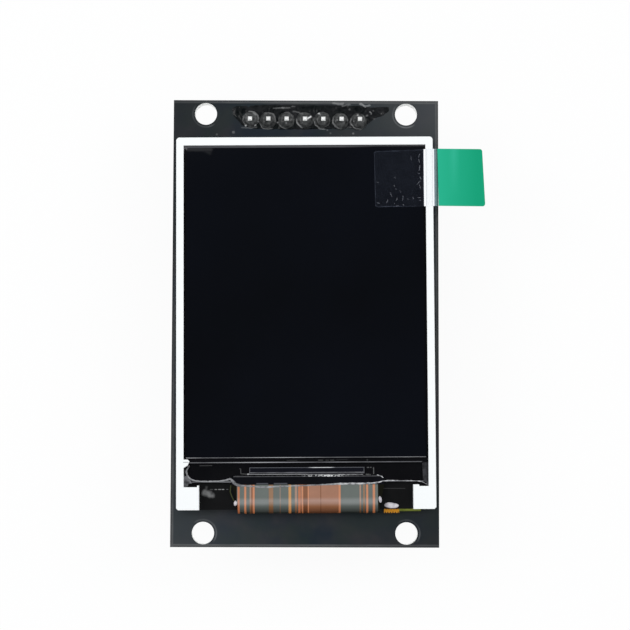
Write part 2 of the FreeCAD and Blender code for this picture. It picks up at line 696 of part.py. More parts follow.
def glass_panel():
    """Two glasses with a polariser on each outer side and a protective film on top."""
    side = "(panel_width / 2)"
    polariser = (mirrored(POLARISER_SIDE), POLARISER_SIDE, POLARISER_END, POLARISER_FAR)
    sheet_piece("rear_polariser", *polariser, RIM_TAPE_TOP, "polariser_thickness")
    array = sheet_piece(
        "array_glass", mirrored(side), side, ARRAY_END, GLASS_FAR, ARRAY_BOTTOM, "glass_thickness"
    )
    dress(array, array.Tip, "Chamfer", "array_glass_corner", near_upright, "corners")
    sheet_piece(
        "colour_filter_glass", mirrored(side), side, FILTER_END, GLASS_FAR, ARRAY_TOP,
        "glass_thickness",
    )
    sheet_piece("front_polariser", *polariser, FILTER_TOP, "polariser_thickness")
    film = f"({POLARISER_SIDE} - cover_film_inset)"
    near = f"{POLARISER_END} + cover_film_inset"
    far = f"{POLARISER_FAR} - cover_film_inset"
    sheet_piece(
        "protective_film", mirrored(film), film, near, far, POLARISER_TOP, "cover_film_thickness"
    )


def driver_sides():
    """Left, right, near and far edges of the driver chip."""
    left = "(driver_shift - driver_length / 2)"
    right = "(driver_shift + driver_length / 2)"
    return left, right, f"({DRIVER_FAR} - driver_width)", DRIVER_FAR


def driver_chip():
    sheet_piece("driver_chip", *driver_sides(), ARRAY_TOP, "driver_thickness")


def ledge_sealant():
    """Clear coat on the glass ledge, round the driver chip and up to the bonded flex."""
    body = new_body("ledge_sealant", "display_seat")
    outline = new_sketch(body, "outline", ARRAY_TOP)
    side = "(panel_width / 2 - array_glass_corner - sealant_inset)"
    low = f"({ARRAY_END} + sealant_inset)"
    high = f"({FILTER_END} - claw_gap)"
    bond_left = "(flex_bond_shift - flex_bond_width / 2)"
    bond_right = "(flex_bond_shift + flex_bond_width / 2)"
    corners = (
        (mirrored(side), low),
        (bond_left, low),
        (bond_left, BOND_FAR),
        (bond_right, BOND_FAR),
        (bond_right, low),
        (side, low),
        (side, high),
        (mirrored(side), high),
    )
    draw_outline(outline, corners)
    coat = pad(body, outline, "sealant_thickness")
    bond_edge = measure(bond_left)
    driver_edge = measure(DRIVER_FAR)
    dress(
        body, coat, "Fillet", "sealant_corner",
        lambda middle, way: upright(way) and middle.x < bond_edge - 1 and middle.y < driver_edge,
        "left_end",
    )
    chip = new_sketch(body, "chip", f"{ARRAY_TOP} + sealant_thickness")
    draw_rectangle(chip, *driver_sides())
    pocket(body, chip, name="chip")


# Display flex


def display_flex():
    """Flex with raised tracks: bonded to the glass, folded under the frame and tailed to the board."""
    body = new_body("display_flex", "display_seat")
    bond_plate(body)
    section = ribbed_section(body)
    pad(body, section, f"{NECK} - {FOLD_ALONG}", "upper_leg", backwards=True)
    fold = body.newObject("PartDesign::Revolution", f"{body.Name}_fold")
    fold.Profile = section
    fold.ReferenceAxis = (section, ["H_Axis"])
    fold.Angle = 180
    document.recompute()
    lower_leg(body)


def bond_plate(body):
    """Bonded end on the glass ledge, tapering to the flex's own width at the fold."""
    outline = new_sketch(body, "bond", ARRAY_TOP)
    bond_left = "flex_bond_shift - flex_bond_width / 2"
    bond_right = "flex_bond_shift + flex_bond_width / 2"
    corners = (
        (FLEX_LEFT, FOLD_ALONG),
        (FLEX_RIGHT, FOLD_ALONG),
        (bond_right, NECK),
        (bond_right, BOND_FAR),
        (bond_left, BOND_FAR),
        (bond_left, NECK),
    )
    draw_outline(outline, corners)
    plate = pad(body, outline, "flex_thickness", "bond")
    glass_edge = measure(ARRAY_END)
    dress(
        body, plate, "Fillet", "flex_bond_corner",
        lambda middle, way: upright(way) and middle.y > glass_edge, "bond_corners",
    )


def ribbed_section(body):
    """The flex cut across at its fold, with a raised rib for each copper track."""
    section = new_sketch(body, "section", mirrored(FOLD_ALONG), "XZ_Plane", FOLD_LEVEL)
    outer = FOLD_RADIUS
    inner = f"({FOLD_RADIUS} - flex_thickness)"
    crest = f"({FOLD_RADIUS} + track_rise)"
    corners = [(FLEX_LEFT, inner), (FLEX_RIGHT, inner), (FLEX_RIGHT, outer)]
    for share, width in reversed(TRACKS):
        middle = f"flex_shift + flex_width * ({share} - 0.5)"
        corners.append((f"{middle} + {width} / 2", outer))
        corners.append((f"{middle} + {width} / 2", crest))
        corners.append((f"{middle} - {width} / 2", crest))
        corners.append((f"{middle} - {width} / 2", outer))
    corners.append((FLEX_LEFT, outer))
    return draw_outline(section, corners)


def lower_leg(body):
    """Folded-back part on the board and the narrow tail with its contacts."""
    outline = new_sketch(body, "lower", FLEX_LOWER)
    tail_left = "flex_shift - flex_tail_width / 2"
    tail_right = "flex_shift + flex_tail_width / 2"
    corners = (
        (FLEX_LEFT, FOLD_ALONG),
        (FLEX_RIGHT, FOLD_ALONG),
        (FLEX_RIGHT, TAIL_START),
        (tail_right, TAIL_START),
        (tail_right, TAIL_END),
        (tail_left, TAIL_END),
        (tail_left, TAIL_START),
        (FLEX_LEFT, TAIL_START),
    )
    draw_outline(outline, corners)
    pad(body, outline, "flex_thickness", "lower")


def flex_solder():
    """Row of soldered contacts between the flex's tail and the board."""
    body = new_body("flex_solder", "display_seat")
    outline = new_sketch(body, "outline", "-tape_thickness")
    middle = "(flex_shift - (contact_count - 1) / 2 * contact_pitch)"
    sides = (f"{middle} - contact_width / 2", f"{middle} + contact_width / 2")
    draw_rectangle(outline, *sides, TAIL_END, f"{TAIL_END} + contact_length")
    contact = pad(body, outline, f"{FLEX_LOWER} + flex_thickness + tape_thickness")
    repeat(body, contact, "X_Axis", "contact_pitch", "contact_count")


# Tapes and pull tab


def mounting_tape(label, middle):
    """Foam tape strip between the board and the display."""
    near = f"{middle} - tape_width / 2"
    far = f"{middle} + tape_width / 2"
    edges = ("-tape_length / 2", "tape_length / 2", near, far)
    sheet_piece(label, *edges, "-tape_thickness", "tape_thickness")


def tab_plate(body, corners, height, thickness):
    """A flat piece of the pull tab whose free ends have rounded corners."""
    outline = new_sketch(body, "outline", height)
    draw_outline(outline, corners)
    plate = pad(body, outline, thickness)
    clear_of_root = measure("tab_lean")
    dress(
        body, plate, "Fillet", "tab_corner",
        lambda middle, way: upright(way) and abs(middle.x) > clear_of_root, "corners",
    )


def pull_tab():
    """Clear film stuck to the screen's protective film, with a coloured handle past the frame."""
    across = f"{FRAME_SIDE} + handle_gap"
    along = f"{FRAME_FAR} - tab_setback"
    place = (
        "display_seat.Placement * create(<<placement>>;"
        f" create(<<vector>>; {spell(across)}; {spell(along)}; 0);"
        " create(<<rotation>>; create(<<vector>>; 0; 0; 1); Sizes.tab_turn))"
    )
    low = "(-tab_width / 2)"
    high = "(tab_width / 2)"
    free_end = "(handle_length - tab_length)"
    outer = (
        ("tab_lean / 2", low),
        ("handle_length + tab_lean", low),
        ("handle_length - tab_lean", high),
        ("-tab_lean / 2", high),
    )
    film = new_body("pull_tab_film")
    film.setExpression("Placement", place)
    inner = (
        (f"{free_end} - tab_lean / 2", f"{high} - tab_drop"),
        (f"{free_end} + tab_lean / 2", f"{low} - tab_drop"),
    )
    tab_plate(film, outer + inner, COVER_TOP, "tab_film_thickness")
    handle = new_body("pull_tab_handle")
    handle.setExpression("Placement", place)
    tab_plate(handle, outer, TAB_TOP, "handle_thickness")


# Parts on the board's rear


def rear_across(index):
    """Where a part stands in the row on the rear, counted from the left."""
    return f"(({index} - ({len(REAR_PARTS)} - 1) / 2) * parts_pitch)"


def chip_part(label, index, height):
    """Chip resistor or capacitor with a metal cap at each end, standing out from the board's rear."""
    body = new_body(label)
    body.setExpression("Placement.Base.x", spell(rear_across(index)))
    body.setExpression("Placement.Base.y", spell(PARTS_ROW))
    core = new_sketch(body, "core", f"-{height}")
    inner = "(chip_length / 2 - chip_terminal / 2)"
    across = "(chip_width / 2)"
    draw_rectangle(core, mirrored(across), across, mirrored(inner), inner)
    pad(body, core, f"{height} - chip_terminal_rise", "core")
    caps = new_sketch(body, "caps", f"-{height} - chip_terminal_rise")
    edge = f"({across} + chip_terminal_rise)"
    tip = "(chip_length / 2)"
    start = f"({tip} - chip_terminal)"
    draw_rectangle(caps, mirrored(edge), edge, start, tip, "far")
    draw_rectangle(caps, mirrored(edge), edge, mirrored(tip), mirrored(start), "near")
    pad(body, caps, f"{height} + chip_terminal_rise", "caps")


def lead_profile(sketch, side, prefix):
    """Gull-wing lead seen along the case, from the board out to the case's side."""
    foot = f"{side} * lead_span / 2"
    heel = f"{side} * (lead_span / 2 - lead_foot)"
    shin = f"{side} * (lead_span / 2 - lead_foot + lead_thickness)"
    root = f"{side} * (case_width / 2 - case_bevel)"
    high = "-(case_standoff + case_height / 2 + lead_thickness / 2)"
    low = "-(case_standoff + case_height / 2 - lead_thickness / 2)"
    corners = (
        (foot, "0"),
        (heel, "0"),
        (heel, low),
        (root, low),
        (root, high),
        (shin, high),
        (shin, "-lead_thickness"),
        (foot, "-lead_thickness"),
    )
    draw_outline(sketch, corners if side < 0 else corners[::-1], prefix)


def case_part(label, index):
    """Small moulded case with two leads on one side and one on the other."""
    body = new_body(label)
    body.setExpression("Placement.Base.x", spell(rear_across(index)))
    body.setExpression("Placement.Base.y", spell(PARTS_ROW))
    outline = new_sketch(body, "case", "-case_standoff - case_height")
    sides = ("-case_width / 2", "case_width / 2", "-case_length / 2", "case_length / 2")
    draw_rectangle(outline, *sides)
    block = pad(body, outline, "case_height", "case")
    mid_height = measure("-case_standoff - case_height / 2")
    dress(
        body, block, "Chamfer", "case_bevel",
        lambda middle, way: not upright(way) and middle.z < mid_height, "bevel",
    )
    for name, side, along in (
        ("single", -1, "0"),
        ("pair_near", 1, "lead_pitch / 2"),
        ("pair_far", 1, "-lead_pitch / 2"),
    ):
        bent = new_sketch(body, name, along, "XZ_Plane")
        lead_profile(bent, side, name)
        pad(body, bent, "lead_width", name, centred=True)


def build():
    circuit_board()
    header_strip()
    for index in range(count("pin_count")):
        header_pin(index)
        solder_joint(index)
    mounting_tape("mounting_tape_upper", f"({FRAME_FAR} - tape_far_setback)")
    mounting_tape("mounting_tape_lower", f"({FRAME_END} + tape_near_setback)")
    light_frame()
    backlight()
    lamp_flex()
    for index in range(count("lamp_count")):
        lamp(index)
    rim_tape()
    glass_panel()
    driver_chip()
    ledge_sealant()
    display_flex()
    flex_solder()
    pull_tab()
    for index, (label, height) in enumerate(REAR_PARTS):
        if height:
            chip_part(label, index, height)
        else:
            case_part(label, index)


def check_and_write():
    """Stop on any failed feature or broken solid, then write each sub-part to its own file."""
    document.recompute()
    for item in document.Objects:
        if "Invalid" in item.State or "Error" in item.State:
            raise ValueError(f"{item.Name} failed: {item.State}")
    for body in nodes:
        if body.Shape.isNull() or not body.Shape.isValid():
            raise ValueError(f"{body.Label} has no valid solid")
        body.Shape.exportStep(f"parts/{body.Label}.step")
        print(body.Label, len(body.Shape.Solids), round(body.Shape.Volume, 4))


build()
check_and_write()
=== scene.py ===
# %% [markdown]
# # A small colour display module
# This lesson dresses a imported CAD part: a dark screen in a white lit frame, taped to a black
# board with a row of pins, with a striped copper flex below it and a green pull tab at its side.
# The part itself comes from the CAD file and stays as it is. We give each of its pieces a
# material, model what only shows on the real thing, such as solder, glue and the creased film,
# and set up the light of a plain studio picture.

# %% Load the part
import math

import bpy
from mathutils import Matrix, Vector


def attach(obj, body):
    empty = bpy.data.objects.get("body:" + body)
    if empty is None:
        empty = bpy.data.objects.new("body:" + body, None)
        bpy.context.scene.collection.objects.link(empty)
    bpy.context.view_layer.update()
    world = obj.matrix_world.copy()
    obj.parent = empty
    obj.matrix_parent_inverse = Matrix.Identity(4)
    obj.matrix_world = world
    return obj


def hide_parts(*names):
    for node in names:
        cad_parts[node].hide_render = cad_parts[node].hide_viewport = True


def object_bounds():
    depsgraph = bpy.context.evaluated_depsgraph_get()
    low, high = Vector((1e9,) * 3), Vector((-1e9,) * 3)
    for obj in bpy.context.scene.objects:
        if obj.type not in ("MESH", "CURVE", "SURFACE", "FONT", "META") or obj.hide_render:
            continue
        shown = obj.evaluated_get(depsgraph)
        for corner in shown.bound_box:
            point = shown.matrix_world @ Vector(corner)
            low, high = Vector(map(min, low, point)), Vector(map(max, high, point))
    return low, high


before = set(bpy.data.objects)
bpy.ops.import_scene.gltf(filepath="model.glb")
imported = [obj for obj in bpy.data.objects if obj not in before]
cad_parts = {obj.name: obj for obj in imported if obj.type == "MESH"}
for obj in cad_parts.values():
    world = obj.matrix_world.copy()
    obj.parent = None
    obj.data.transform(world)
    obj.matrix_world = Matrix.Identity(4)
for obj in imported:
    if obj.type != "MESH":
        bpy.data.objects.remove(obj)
cad_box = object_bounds()
scene = bpy.context.scene
print("nodes loaded:", len(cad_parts))
print("CAD box, mm:", [[round(value * 1000, 2) for value in corner] for corner in cad_box])

# %% [markdown]
# ## Two sets of coordinates
# The board is straight in the picture, but the display was pressed on by hand and sits half a
# degree turned. All that belongs to the display is easier to place in its own plan: u to
# the right, v up along the screen and h above the foam tape, in millimetres. One function turns
# such a place into Blender's metres, so that no other line has to care about the turn.

# %% Places on the board and on the display
MM = 0.001
SEAT_TURN = math.radians(0.46)
SEAT_SHIFT = -0.2
SEAT_HEIGHT = 2.1
seat = Matrix.Translation((0, SEAT_SHIFT * MM, SEAT_HEIGHT * MM)) @ Matrix.Rotation(SEAT_TURN, 4, "Z")


def on_board(x, y, z):
    return Vector((x, y, z)) * MM


def on_display(u, v, h):
    return seat @ (Vector((u, v, h)) * MM)


print("middle of the screen:", on_display(0, 3, 2.35))

# %% [markdown]
# ## Camera
# The picture is taken from nearly straight above, a quarter of a metre away, with a lens that
# flattens perspective. The place and the turn were fitted to the corners of the board, its four
# holes and the tips of the pins. Euler angles are enough here, since the camera never moves.

# %% Camera
FRAME_PIXELS = 630
FOCAL_PIXELS = 1802.2
camera_data = bpy.data.cameras.new("photo_camera")
camera_data.sensor_width = 36.0
camera_data.lens = FOCAL_PIXELS * camera_data.sensor_width / FRAME_PIXELS
camera_data.clip_start = 0.01
camera = bpy.data.objects.new("photo_camera", camera_data)
scene.collection.objects.link(camera)
right = Vector((0.99998157, 0.00264961, 0.00546246))
up = Vector((-0.00305903, 0.99707569, 0.07635915))
back = Vector((-0.00524416, -0.07637446, 0.99706541))
camera.rotation_euler = Matrix((right, up, back)).transposed().to_euler()
camera.location = on_board(0.02085, -18.0209, 249.3555)
scene.camera = camera
scene.view_settings.view_transform = "Standard"
print("lens, mm:", round(camera_data.lens, 2))

# %% [markdown]
# ## Helpers for modelling
# Every piece is modelled the way it would be by hand: deselect all, add a primitive where it
# belongs, shape it in edit mode and apply its modifiers. A few small functions hold the steps
# that come back each time, so the cells below only say what is special about their piece.

# %% Modelling helpers
SMOOTH_BELOW = math.radians(38)


def clear_selection():
    if bpy.context.mode != "OBJECT":
        bpy.ops.object.mode_set(mode="OBJECT")
    bpy.ops.object.select_all(action="DESELECT")


def pick(piece):
    """Select one piece and nothing else."""
    clear_selection()
    piece.select_set(True)
    bpy.context.view_layer.objects.active = piece


def edit(piece):
    """Enter edit mode on one piece with all of it selected."""
    pick(piece)
    bpy.ops.object.mode_set(mode="EDIT")
    bpy.ops.mesh.select_all(action="SELECT")


def draw_line(name, corners):
    """Extrude one vertex from corner to corner, and stay in edit mode with all selected."""
    clear_selection()
    bpy.ops.mesh.primitive_plane_add(size=MM, location=corners[0])
    piece = bpy.context.object
    piece.name = name
    edit(piece)
    bpy.ops.mesh.merge(type="CENTER")
    for start, end in zip(corners, corners[1:]):
        bpy.ops.mesh.extrude_region_move(TRANSFORM_OT_translate={"value": end - start})
    bpy.ops.mesh.select_all(action="SELECT")
    return piece


def draw_sheet(name, corners, thickness):
    """Trace an outline, fill it and raise it."""
    piece = draw_line(name, corners)
    bpy.ops.mesh.edge_face_add()
    lift = (0, 0, thickness * MM)
    bpy.ops.mesh.extrude_region_move(TRANSFORM_OT_translate={"value": lift})
    bpy.ops.mesh.select_all(action="SELECT")
    bpy.ops.mesh.normals_make_consistent(inside=False)
    bpy.ops.object.mode_set(mode="OBJECT")
    return piece


def apply_modifier(piece, kind, **settings):
    """Add a modifier, set it and apply it."""
    pick(piece)
    modifier = piece.modifiers.new(kind.lower(), kind)
    for key, value in settings.items():
        setattr(modifier, key, value)
    bpy.ops.object.modifier_apply(modifier=modifier.name)


def clouds(name, size):
    """A cloud texture for Displace, with its features about size millimetres wide."""
    texture = bpy.data.textures.new(name, "CLOUDS")
    texture.noise_scale = size * MM
    texture.noise_depth = 1
    return texture


def dent(piece, texture, strength, **settings):
    """Push a piece's surface in and out by a cloud texture."""
    apply_modifier(piece, "DISPLACE", texture=texture, strength=strength * MM, mid_level=0.5,
                   texture_coords="GLOBAL", **settings)


def count_open_edges(mesh):
    uses = {}
    for face in mesh.polygons:
        for key in face.edge_keys:
            uses[key] = uses.get(key, 0) + 1
    return sum(1 for times in uses.values() if times != 2)


def settle(piece, material, slot_name, *replaced):
    """Bake the piece's place into its mesh, give it its material, hang it under the root empty and hide
    the CAD parts it replaces.
    """
    pick(piece)
    bpy.ops.object.transform_apply(location=True, rotation=True, scale=True)
    bpy.ops.object.shade_smooth_by_angle(angle=SMOOTH_BELOW)
    piece.data.materials.clear()
    piece.data.materials.append(material)
    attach(piece, "root")
    if replaced:
        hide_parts(*replaced)
    print(piece.name, len(piece.data.polygons), "faces,", count_open_edges(piece.data), "open edges")


# %% [markdown]
# ## Helpers for materials
# A node tree written out line by line is hard to read. So one function adds a node, sets it and
# plugs in what it is fed with, and returns one of its outputs as a Field: a value, colour or
# place that changes over the surface. A sum on fields, such as abs(x) - 3, adds the Math nodes
# that work it out, where | takes the larger of two and & the smaller. Numbers that are the same
# all over a surface go straight onto the shader's own sockets. Colours are written as they look
# on screen, from 0 to 255.

# %% Node helpers
FAR = 99.0


def colour(red, green, blue):
    """A colour as seen on screen, in the linear values that Blender's sockets take."""
    linear = []
    for value in (red, green, blue):
        share = value / 255
        linear.append(share / 12.92 if share <= 0.04045 else ((share + 0.055) / 1.055) ** 2.4)
    return (*linear, 1)


def feed(socket, value):
    """Link a field to an input, or set it; three numbers for a colour are as on screen."""
    if isinstance(value, Field):
        socket.id_data.links.new(value.socket, socket)
    elif socket.type == "RGBA" and len(value) == 3:
        socket.default_value = colour(*value)
    else:
        socket.default_value = value


def add_node(tree, kind, feeds=None, **settings):
    """Add a shader node, set its properties and feed its inputs."""
    node = tree.nodes.new("ShaderNode" + kind)
    for key, value in settings.items():
        setattr(node, key, value)
    for name, value in (feeds or {}).items():
        feed(node.inputs[name], value)
    return node


def add(tree, kind, feeds=None, output=0, **settings):
    return Field(add_node(tree, kind, feeds, **settings).outputs[output])


def use_group(tree, group, **values):
    """Place a group in a material, with its inputs named by keyword."""
    node = tree.nodes.new("ShaderNodeGroup")
    node.node_tree = group
    for label, value in values.items():
        feed(node.inputs[label], value)
    return Field(node.outputs[0])


def sum_by(operation, swapped=False):
    """A method that does one sum with a Math node."""
    def work_out(self, other=0.0):
        pair = (other, self) if swapped else (self, other)
        return add(self.tree, "Math", dict(enumerate(pair)), operation=operation)
    return work_out


class Field:
    """A node's output: a value, colour or place that changes over the surface."""

    def __init__(self, socket):
        self.socket = socket
        self.tree = socket.id_data

    __add__ = __radd__ = sum_by("ADD")
    __mul__ = __rmul__ = sum_by("MULTIPLY")
    __or__ = __ror__ = sum_by("MAXIMUM")
    __and__ = sum_by("MINIMUM")
    __gt__ = sum_by("GREATER_THAN")
    __sub__ = sum_by("SUBTRACT")
    __rsub__ = sum_by("SUBTRACT", swapped=True)
    __truediv__ = sum_by("DIVIDE")
    __rtruediv__ = sum_by("DIVIDE", swapped=True)
    __abs__ = sum_by("ABSOLUTE")
    root = sum_by("SQRT")
    sign = sum_by("SIGN")
    fold = sum_by("PINGPONG")

    def clamp(self):
        """Keep the last sum between 0 and 1."""
        self.socket.node.use_clamp = True
        return self

    def parts(self):
        """The three numbers of a place."""
        return [Field(one) for one in add_node(self.tree, "SeparateXYZ", {0: self}).outputs]

    def band(self, low, high, soft=0.03):
        """One between two limits and nothing outside, with soft edges."""
        return use_group(self.tree, band_group, Value=self, Low=low, High=high, Soft=soft)

    def over(self, low, soft=0.03):
        return self.band(low, FAR, soft)

    def under(self, high, soft=0.03):
        return self.band(-FAR, high, soft)

    def hump(self, middle, reach):
        """One at the middle, falling off to nothing at either side."""
        return (1.0 - abs(self - middle) / reach).clamp()

    def slope(self, low, high):
        """Nothing at low, one at high and an even climb between."""
        return add(self.tree, "MapRange", {"Value": self, "From Min": low, "From Max": high})


def vectors(operation, first, second=(0, 0, 0), output=0):
    """A sum on places or colours: output 0 is a vector, output 1 a number."""
    return add(first.tree, "VectorMath", {0: first, 1: second}, output, operation=operation)


def times(first, second):
    """One colour times another."""
    return vectors("MULTIPLY", first, second)


def blend(mask, below, above):
    """Mix two colours by a mask."""
    return add(mask.tree, "Mix", {0: mask, 6: below, 7: above}, 2, data_type="RGBA")


def layered(base, *coats):
    """Lay colours over a base one after another, each through its own mask."""
    for mask, tint in coats:
        base = blend(mask, base, tint)
    return base


def new_group(name, inputs, output):
    """An empty shader group, its inputs as fields and its output; None makes a vector input."""
    tree = bpy.data.node_groups.new(name, "ShaderNodeTree")
    for label, default in inputs.items():
        kind = "NodeSocketVector" if default is None else "NodeSocketFloat"
        socket = tree.interface.new_socket(label, in_out="INPUT", socket_type=kind)
        if default is not None:
            socket.default_value = default
    tree.interface.new_socket(output, in_out="OUTPUT", socket_type="NodeSocketFloat")
    given = tree.nodes.new("NodeGroupInput").outputs
    fields = [Field(given[label]) for label in inputs]
    return tree, fields, tree.nodes.new("NodeGroupOutput").inputs[0]


# %% [markdown]
# ## Shared effects
# The same few effects come back all over the module: a stripe between two limits, broad cloudy
# patches, a fine grain that breaks up the gloss, specks of dust, and two kinds of pen mark, a
# stroke and an arc, for print, smudges and smears, and for painted light: a shadow line, glints
# and rings of light. Each is a small group with named inputs, built once. The alternative,
# painting an image, would tie us to a picture file.

# %% Groups: band, patches, grain and dust
band_group, (value, low, high, soft), result = new_group(
    "Band", {"Value": 0.0, "Low": 0.0, "High": 1.0, "Soft": 0.02}, "Mask")
rising = ((value - low) / soft + 0.5).clamp()
falling = ((high - value) / soft + 0.5).clamp()
feed(result, rising * falling)

patches_group, (place, size, contrast), result = new_group(
    "Patches", {"Place": None, "Size": 4.0, "Contrast": 2.0}, "Mask")
noise = add(patches_group, "TexNoise", {"Vector": place, "Scale": 1.0 / size, "Detail": 3.0})
feed(result, ((noise - 0.5) * contrast + 0.5).clamp())

grain_group, (place, size, depth), result = new_group(
    "Grain", {"Place": None, "Size": 0.2, "Depth": 1.0}, "Height")
noise = add(grain_group, "TexNoise", {"Vector": place, "Scale": 1.0 / size, "Detail": 2.0})
feed(result, noise * depth)

dust_group, (place, size, amount), result = new_group(
    "Dust", {"Place": None, "Size": 1.5, "Amount": 0.1}, "Mask")
cells = add(dust_group, "TexVoronoi", {"Vector": place, "Scale": 1.0 / size}, "Distance")
feed(result, ((amount - cells) * 30.0).clamp())

# %% Groups: stroke and arc
stroke_group, (place, start, step, width, soft), result = new_group(
    "Stroke", {"Place": None, "Start": None, "Step": None, "Width": 0.1, "Soft": 0.08}, "Mask")
offset = vectors("SUBTRACT", place, start)
walked = vectors("DOT_PRODUCT", offset, step, 1) / vectors("DOT_PRODUCT", step, step, 1)
nearest = add(stroke_group, "VectorMath", {0: step, 3: walked.clamp()}, operation="SCALE")
gap = vectors("LENGTH", vectors("SUBTRACT", offset, nearest), output=1)
feed(result, ((width * 0.5 - gap) / soft + 0.5).clamp())

arc_group, (place, centre, facing, radius, spread, width), result = new_group(
    "Arc", {"Place": None, "Centre": None, "Facing": None, "Radius": 1.0, "Spread": 0.5, "Width": 0.2},
    "Mask")
offset = vectors("SUBTRACT", place, centre)
reach = vectors("LENGTH", offset, output=1)
ring = ((width * 0.5 - abs(reach - radius)) / 0.1 + 0.5).clamp()
aim = vectors("DOT_PRODUCT", offset, facing, 1) / reach
feed(result, ring * ((aim - spread) * 5.0).clamp())
print("groups:", [group.name for group in bpy.data.node_groups])

# %% [markdown]
# ## Starting a material
# Each material starts with a Principled shader and the place of the shaded point in
# millimetres. For the display's pieces a Mapping node also turns that place into the display's
# own plan, so a line drawn at u = 2 follows the piece and not the board. Pen marks read a flat
# copy of either place, so that a mark may run over a step in height, and each has its own
# brightness on screen.

# %% Material starter
WHITE = (252, 252, 252)
UNTOUCHED = (1, 1, 1, 1)


def path(points, width, brightness):
    """The strokes from point to point along a line."""
    return [(*start, *end, width, brightness) for start, end in zip(points, points[1:])]


def dot(u, v, width, brightness):
    return (u - 0.01, v, u + 0.01, v, width, brightness)


def glow(brightness):
    """How much light a brightness on screen stands for."""
    return colour(brightness, 0, 0)[0]


class Finish:
    """A new material: its tree, its shader and the places that its patterns read."""

    def __init__(self, name, roughness, specular=0.5, **values):
        self.material = bpy.data.materials.new(name)
        self.material.use_nodes = True
        self.tree = self.material.node_tree
        self.shader = self.tree.nodes["Principled BSDF"]
        self.join(roughness, "Roughness")
        self.join(specular, "Specular IOR Level")
        for label, value in values.items():
            self.join(value, label)
        objects = add(self.tree, "TexCoord", output="Object")
        whole = {"Vector": objects, "Scale": (1000, 1000, 1000)}
        flat = {"Vector": objects, "Scale": (1000, 1000, 0)}
        seated = {"Rotation": (0, 0, -SEAT_TURN), "Location": (0, -SEAT_SHIFT, -SEAT_HEIGHT)}
        seated_flat = dict(seated, Location=(0, -SEAT_SHIFT, 0))
        self.place = add(self.tree, "Mapping", whole)
        self.plan = add(self.tree, "Mapping", whole | seated)
        self.flat_place = add(self.tree, "Mapping", flat)
        self.flat_plan = add(self.tree, "Mapping", flat | seated_flat)

    def patches(self, size, contrast=2.0, place=None):
        return use_group(self.tree, patches_group, Place=place or self.place, Size=size,
                         Contrast=contrast)

    def mottle(self, dark, light, size, contrast=2.0):
        """Two colours in cloudy patches."""
        return blend(self.patches(size, contrast), dark, light)

    def strokes(self, place, marks, soft=0.08):
        """The brightest of many strokes (start, end, width, brightness on screen) at each point."""
        mask = 0.0
        for left, low, right, high, width, brightness in marks:
            one = use_group(self.tree, stroke_group, Place=place, Start=(left, low, 0),
                            Step=(right - left, high - low, 0), Width=width, Soft=soft)
            mask = mask | one * glow(brightness)
        return mask

    def marked(self, base, marks, soft=0.08):
        """A colour with white pen marks over it, drawn on the display's plan."""
        return blend(self.strokes(self.flat_plan, marks, soft), base, WHITE)

    def wobble(self, place, size, amount):
        """The same place, pushed about a little, so that a drawn line comes out uneven."""
        noise = add(self.tree, "TexNoise", {"Vector": place, "Scale": 1 / size, "Detail": 2.0}, 1)
        push = vectors("SUBTRACT", noise, (0.5, 0.5, 0.5))
        return vectors("ADD", place, vectors("MULTIPLY", push, (amount, amount, 0)))

    def join(self, value, socket):
        feed(self.shader.inputs[socket], value)

    def colour(self, value):
        self.join(value, "Base Color")

    def bump(self, size, depth, distance=0.02, bevel=0.0):
        """A fine grain in the surface, over softened edges where a bevel is given."""
        height = use_group(self.tree, grain_group, Place=self.place, Size=size, Depth=depth)
        feeds = {"Height": height, "Distance": distance * MM}
        if bevel:
            feeds["Normal"] = add(self.tree, "Bevel", {"Radius": bevel * MM})
        self.join(add(self.tree, "Bump", feeds), "Normal")


def plain(name, shine, dark, light, patch, grain, **values):
    """A finish with nothing on it but its patches (size, contrast) and its grain."""
    finish = Finish(name, *shine, **values)
    finish.colour(finish.mottle(dark, light, *patch))
    finish.bump(*grain)
    return finish


def dress(finish, *names):
    """Give CAD nodes their material; a name that ends in * stands for all that start so."""
    chosen = []
    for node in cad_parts:
        if any(node == name or (name.endswith("*") and node.startswith(name[:-1])) for name in names):
            chosen.append(node)
            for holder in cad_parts[node].material_slots:
                holder.material = finish.material
    print(finish.material.name, "on", chosen)


# %% [markdown]
# ## Light and floor
# Pictures like this one are lit from all around, so the white frame shows no shading and the
# board throws hardly any shadow. A screen is a mirror, though, and here it is black: nothing
# bright stands right above it. So the sky is bright all round and dark in a small cap overhead.
# The floor is white to the camera, and a share of its real shading stays in, as a faint shadow.

# %% Sky
CAP_EDGE = 0.955
CAP_MIDDLE = 0.985
SKY_LIGHT = (0.75, 0.77, 0.785, 1)
SKY_CAP = (0.012, 0.015, 0.02, 1)
world = bpy.data.worlds.new("studio")
scene.world = world
world.use_nodes = True
tree = world.node_tree
height = add(tree, "TexCoord", output="Generated").parts()[2]
studio = blend(height.slope(CAP_EDGE, CAP_MIDDLE), SKY_LIGHT, SKY_CAP)
seen = add(tree, "LightPath", output="Is Camera Ray")
feed(tree.nodes["Background"].inputs["Color"], blend(seen, studio, UNTOUCHED))
print("sky is dark within", round(math.degrees(math.acos(CAP_EDGE)), 1), "degrees of straight up")

# %% Lamps


def soft_lamp(name, place, size, power):
    data = bpy.data.lights.new(name, "AREA")
    data.size = size
    data.energy = power
    lamp = bpy.data.objects.new(name, data)
    scene.collection.objects.link(lamp)
    lamp.location = place
    lamp.rotation_euler = (-Vector(place)).to_track_quat("-Z", "Y").to_euler()


soft_lamp("softbox_left", (-0.35, 0.1, 0.35), 0.22, 0.72)
soft_lamp("softbox_right", (0.35, 0.15, 0.35), 0.22, 0.56)
print("lamps:", [light.name for light in bpy.data.lights])

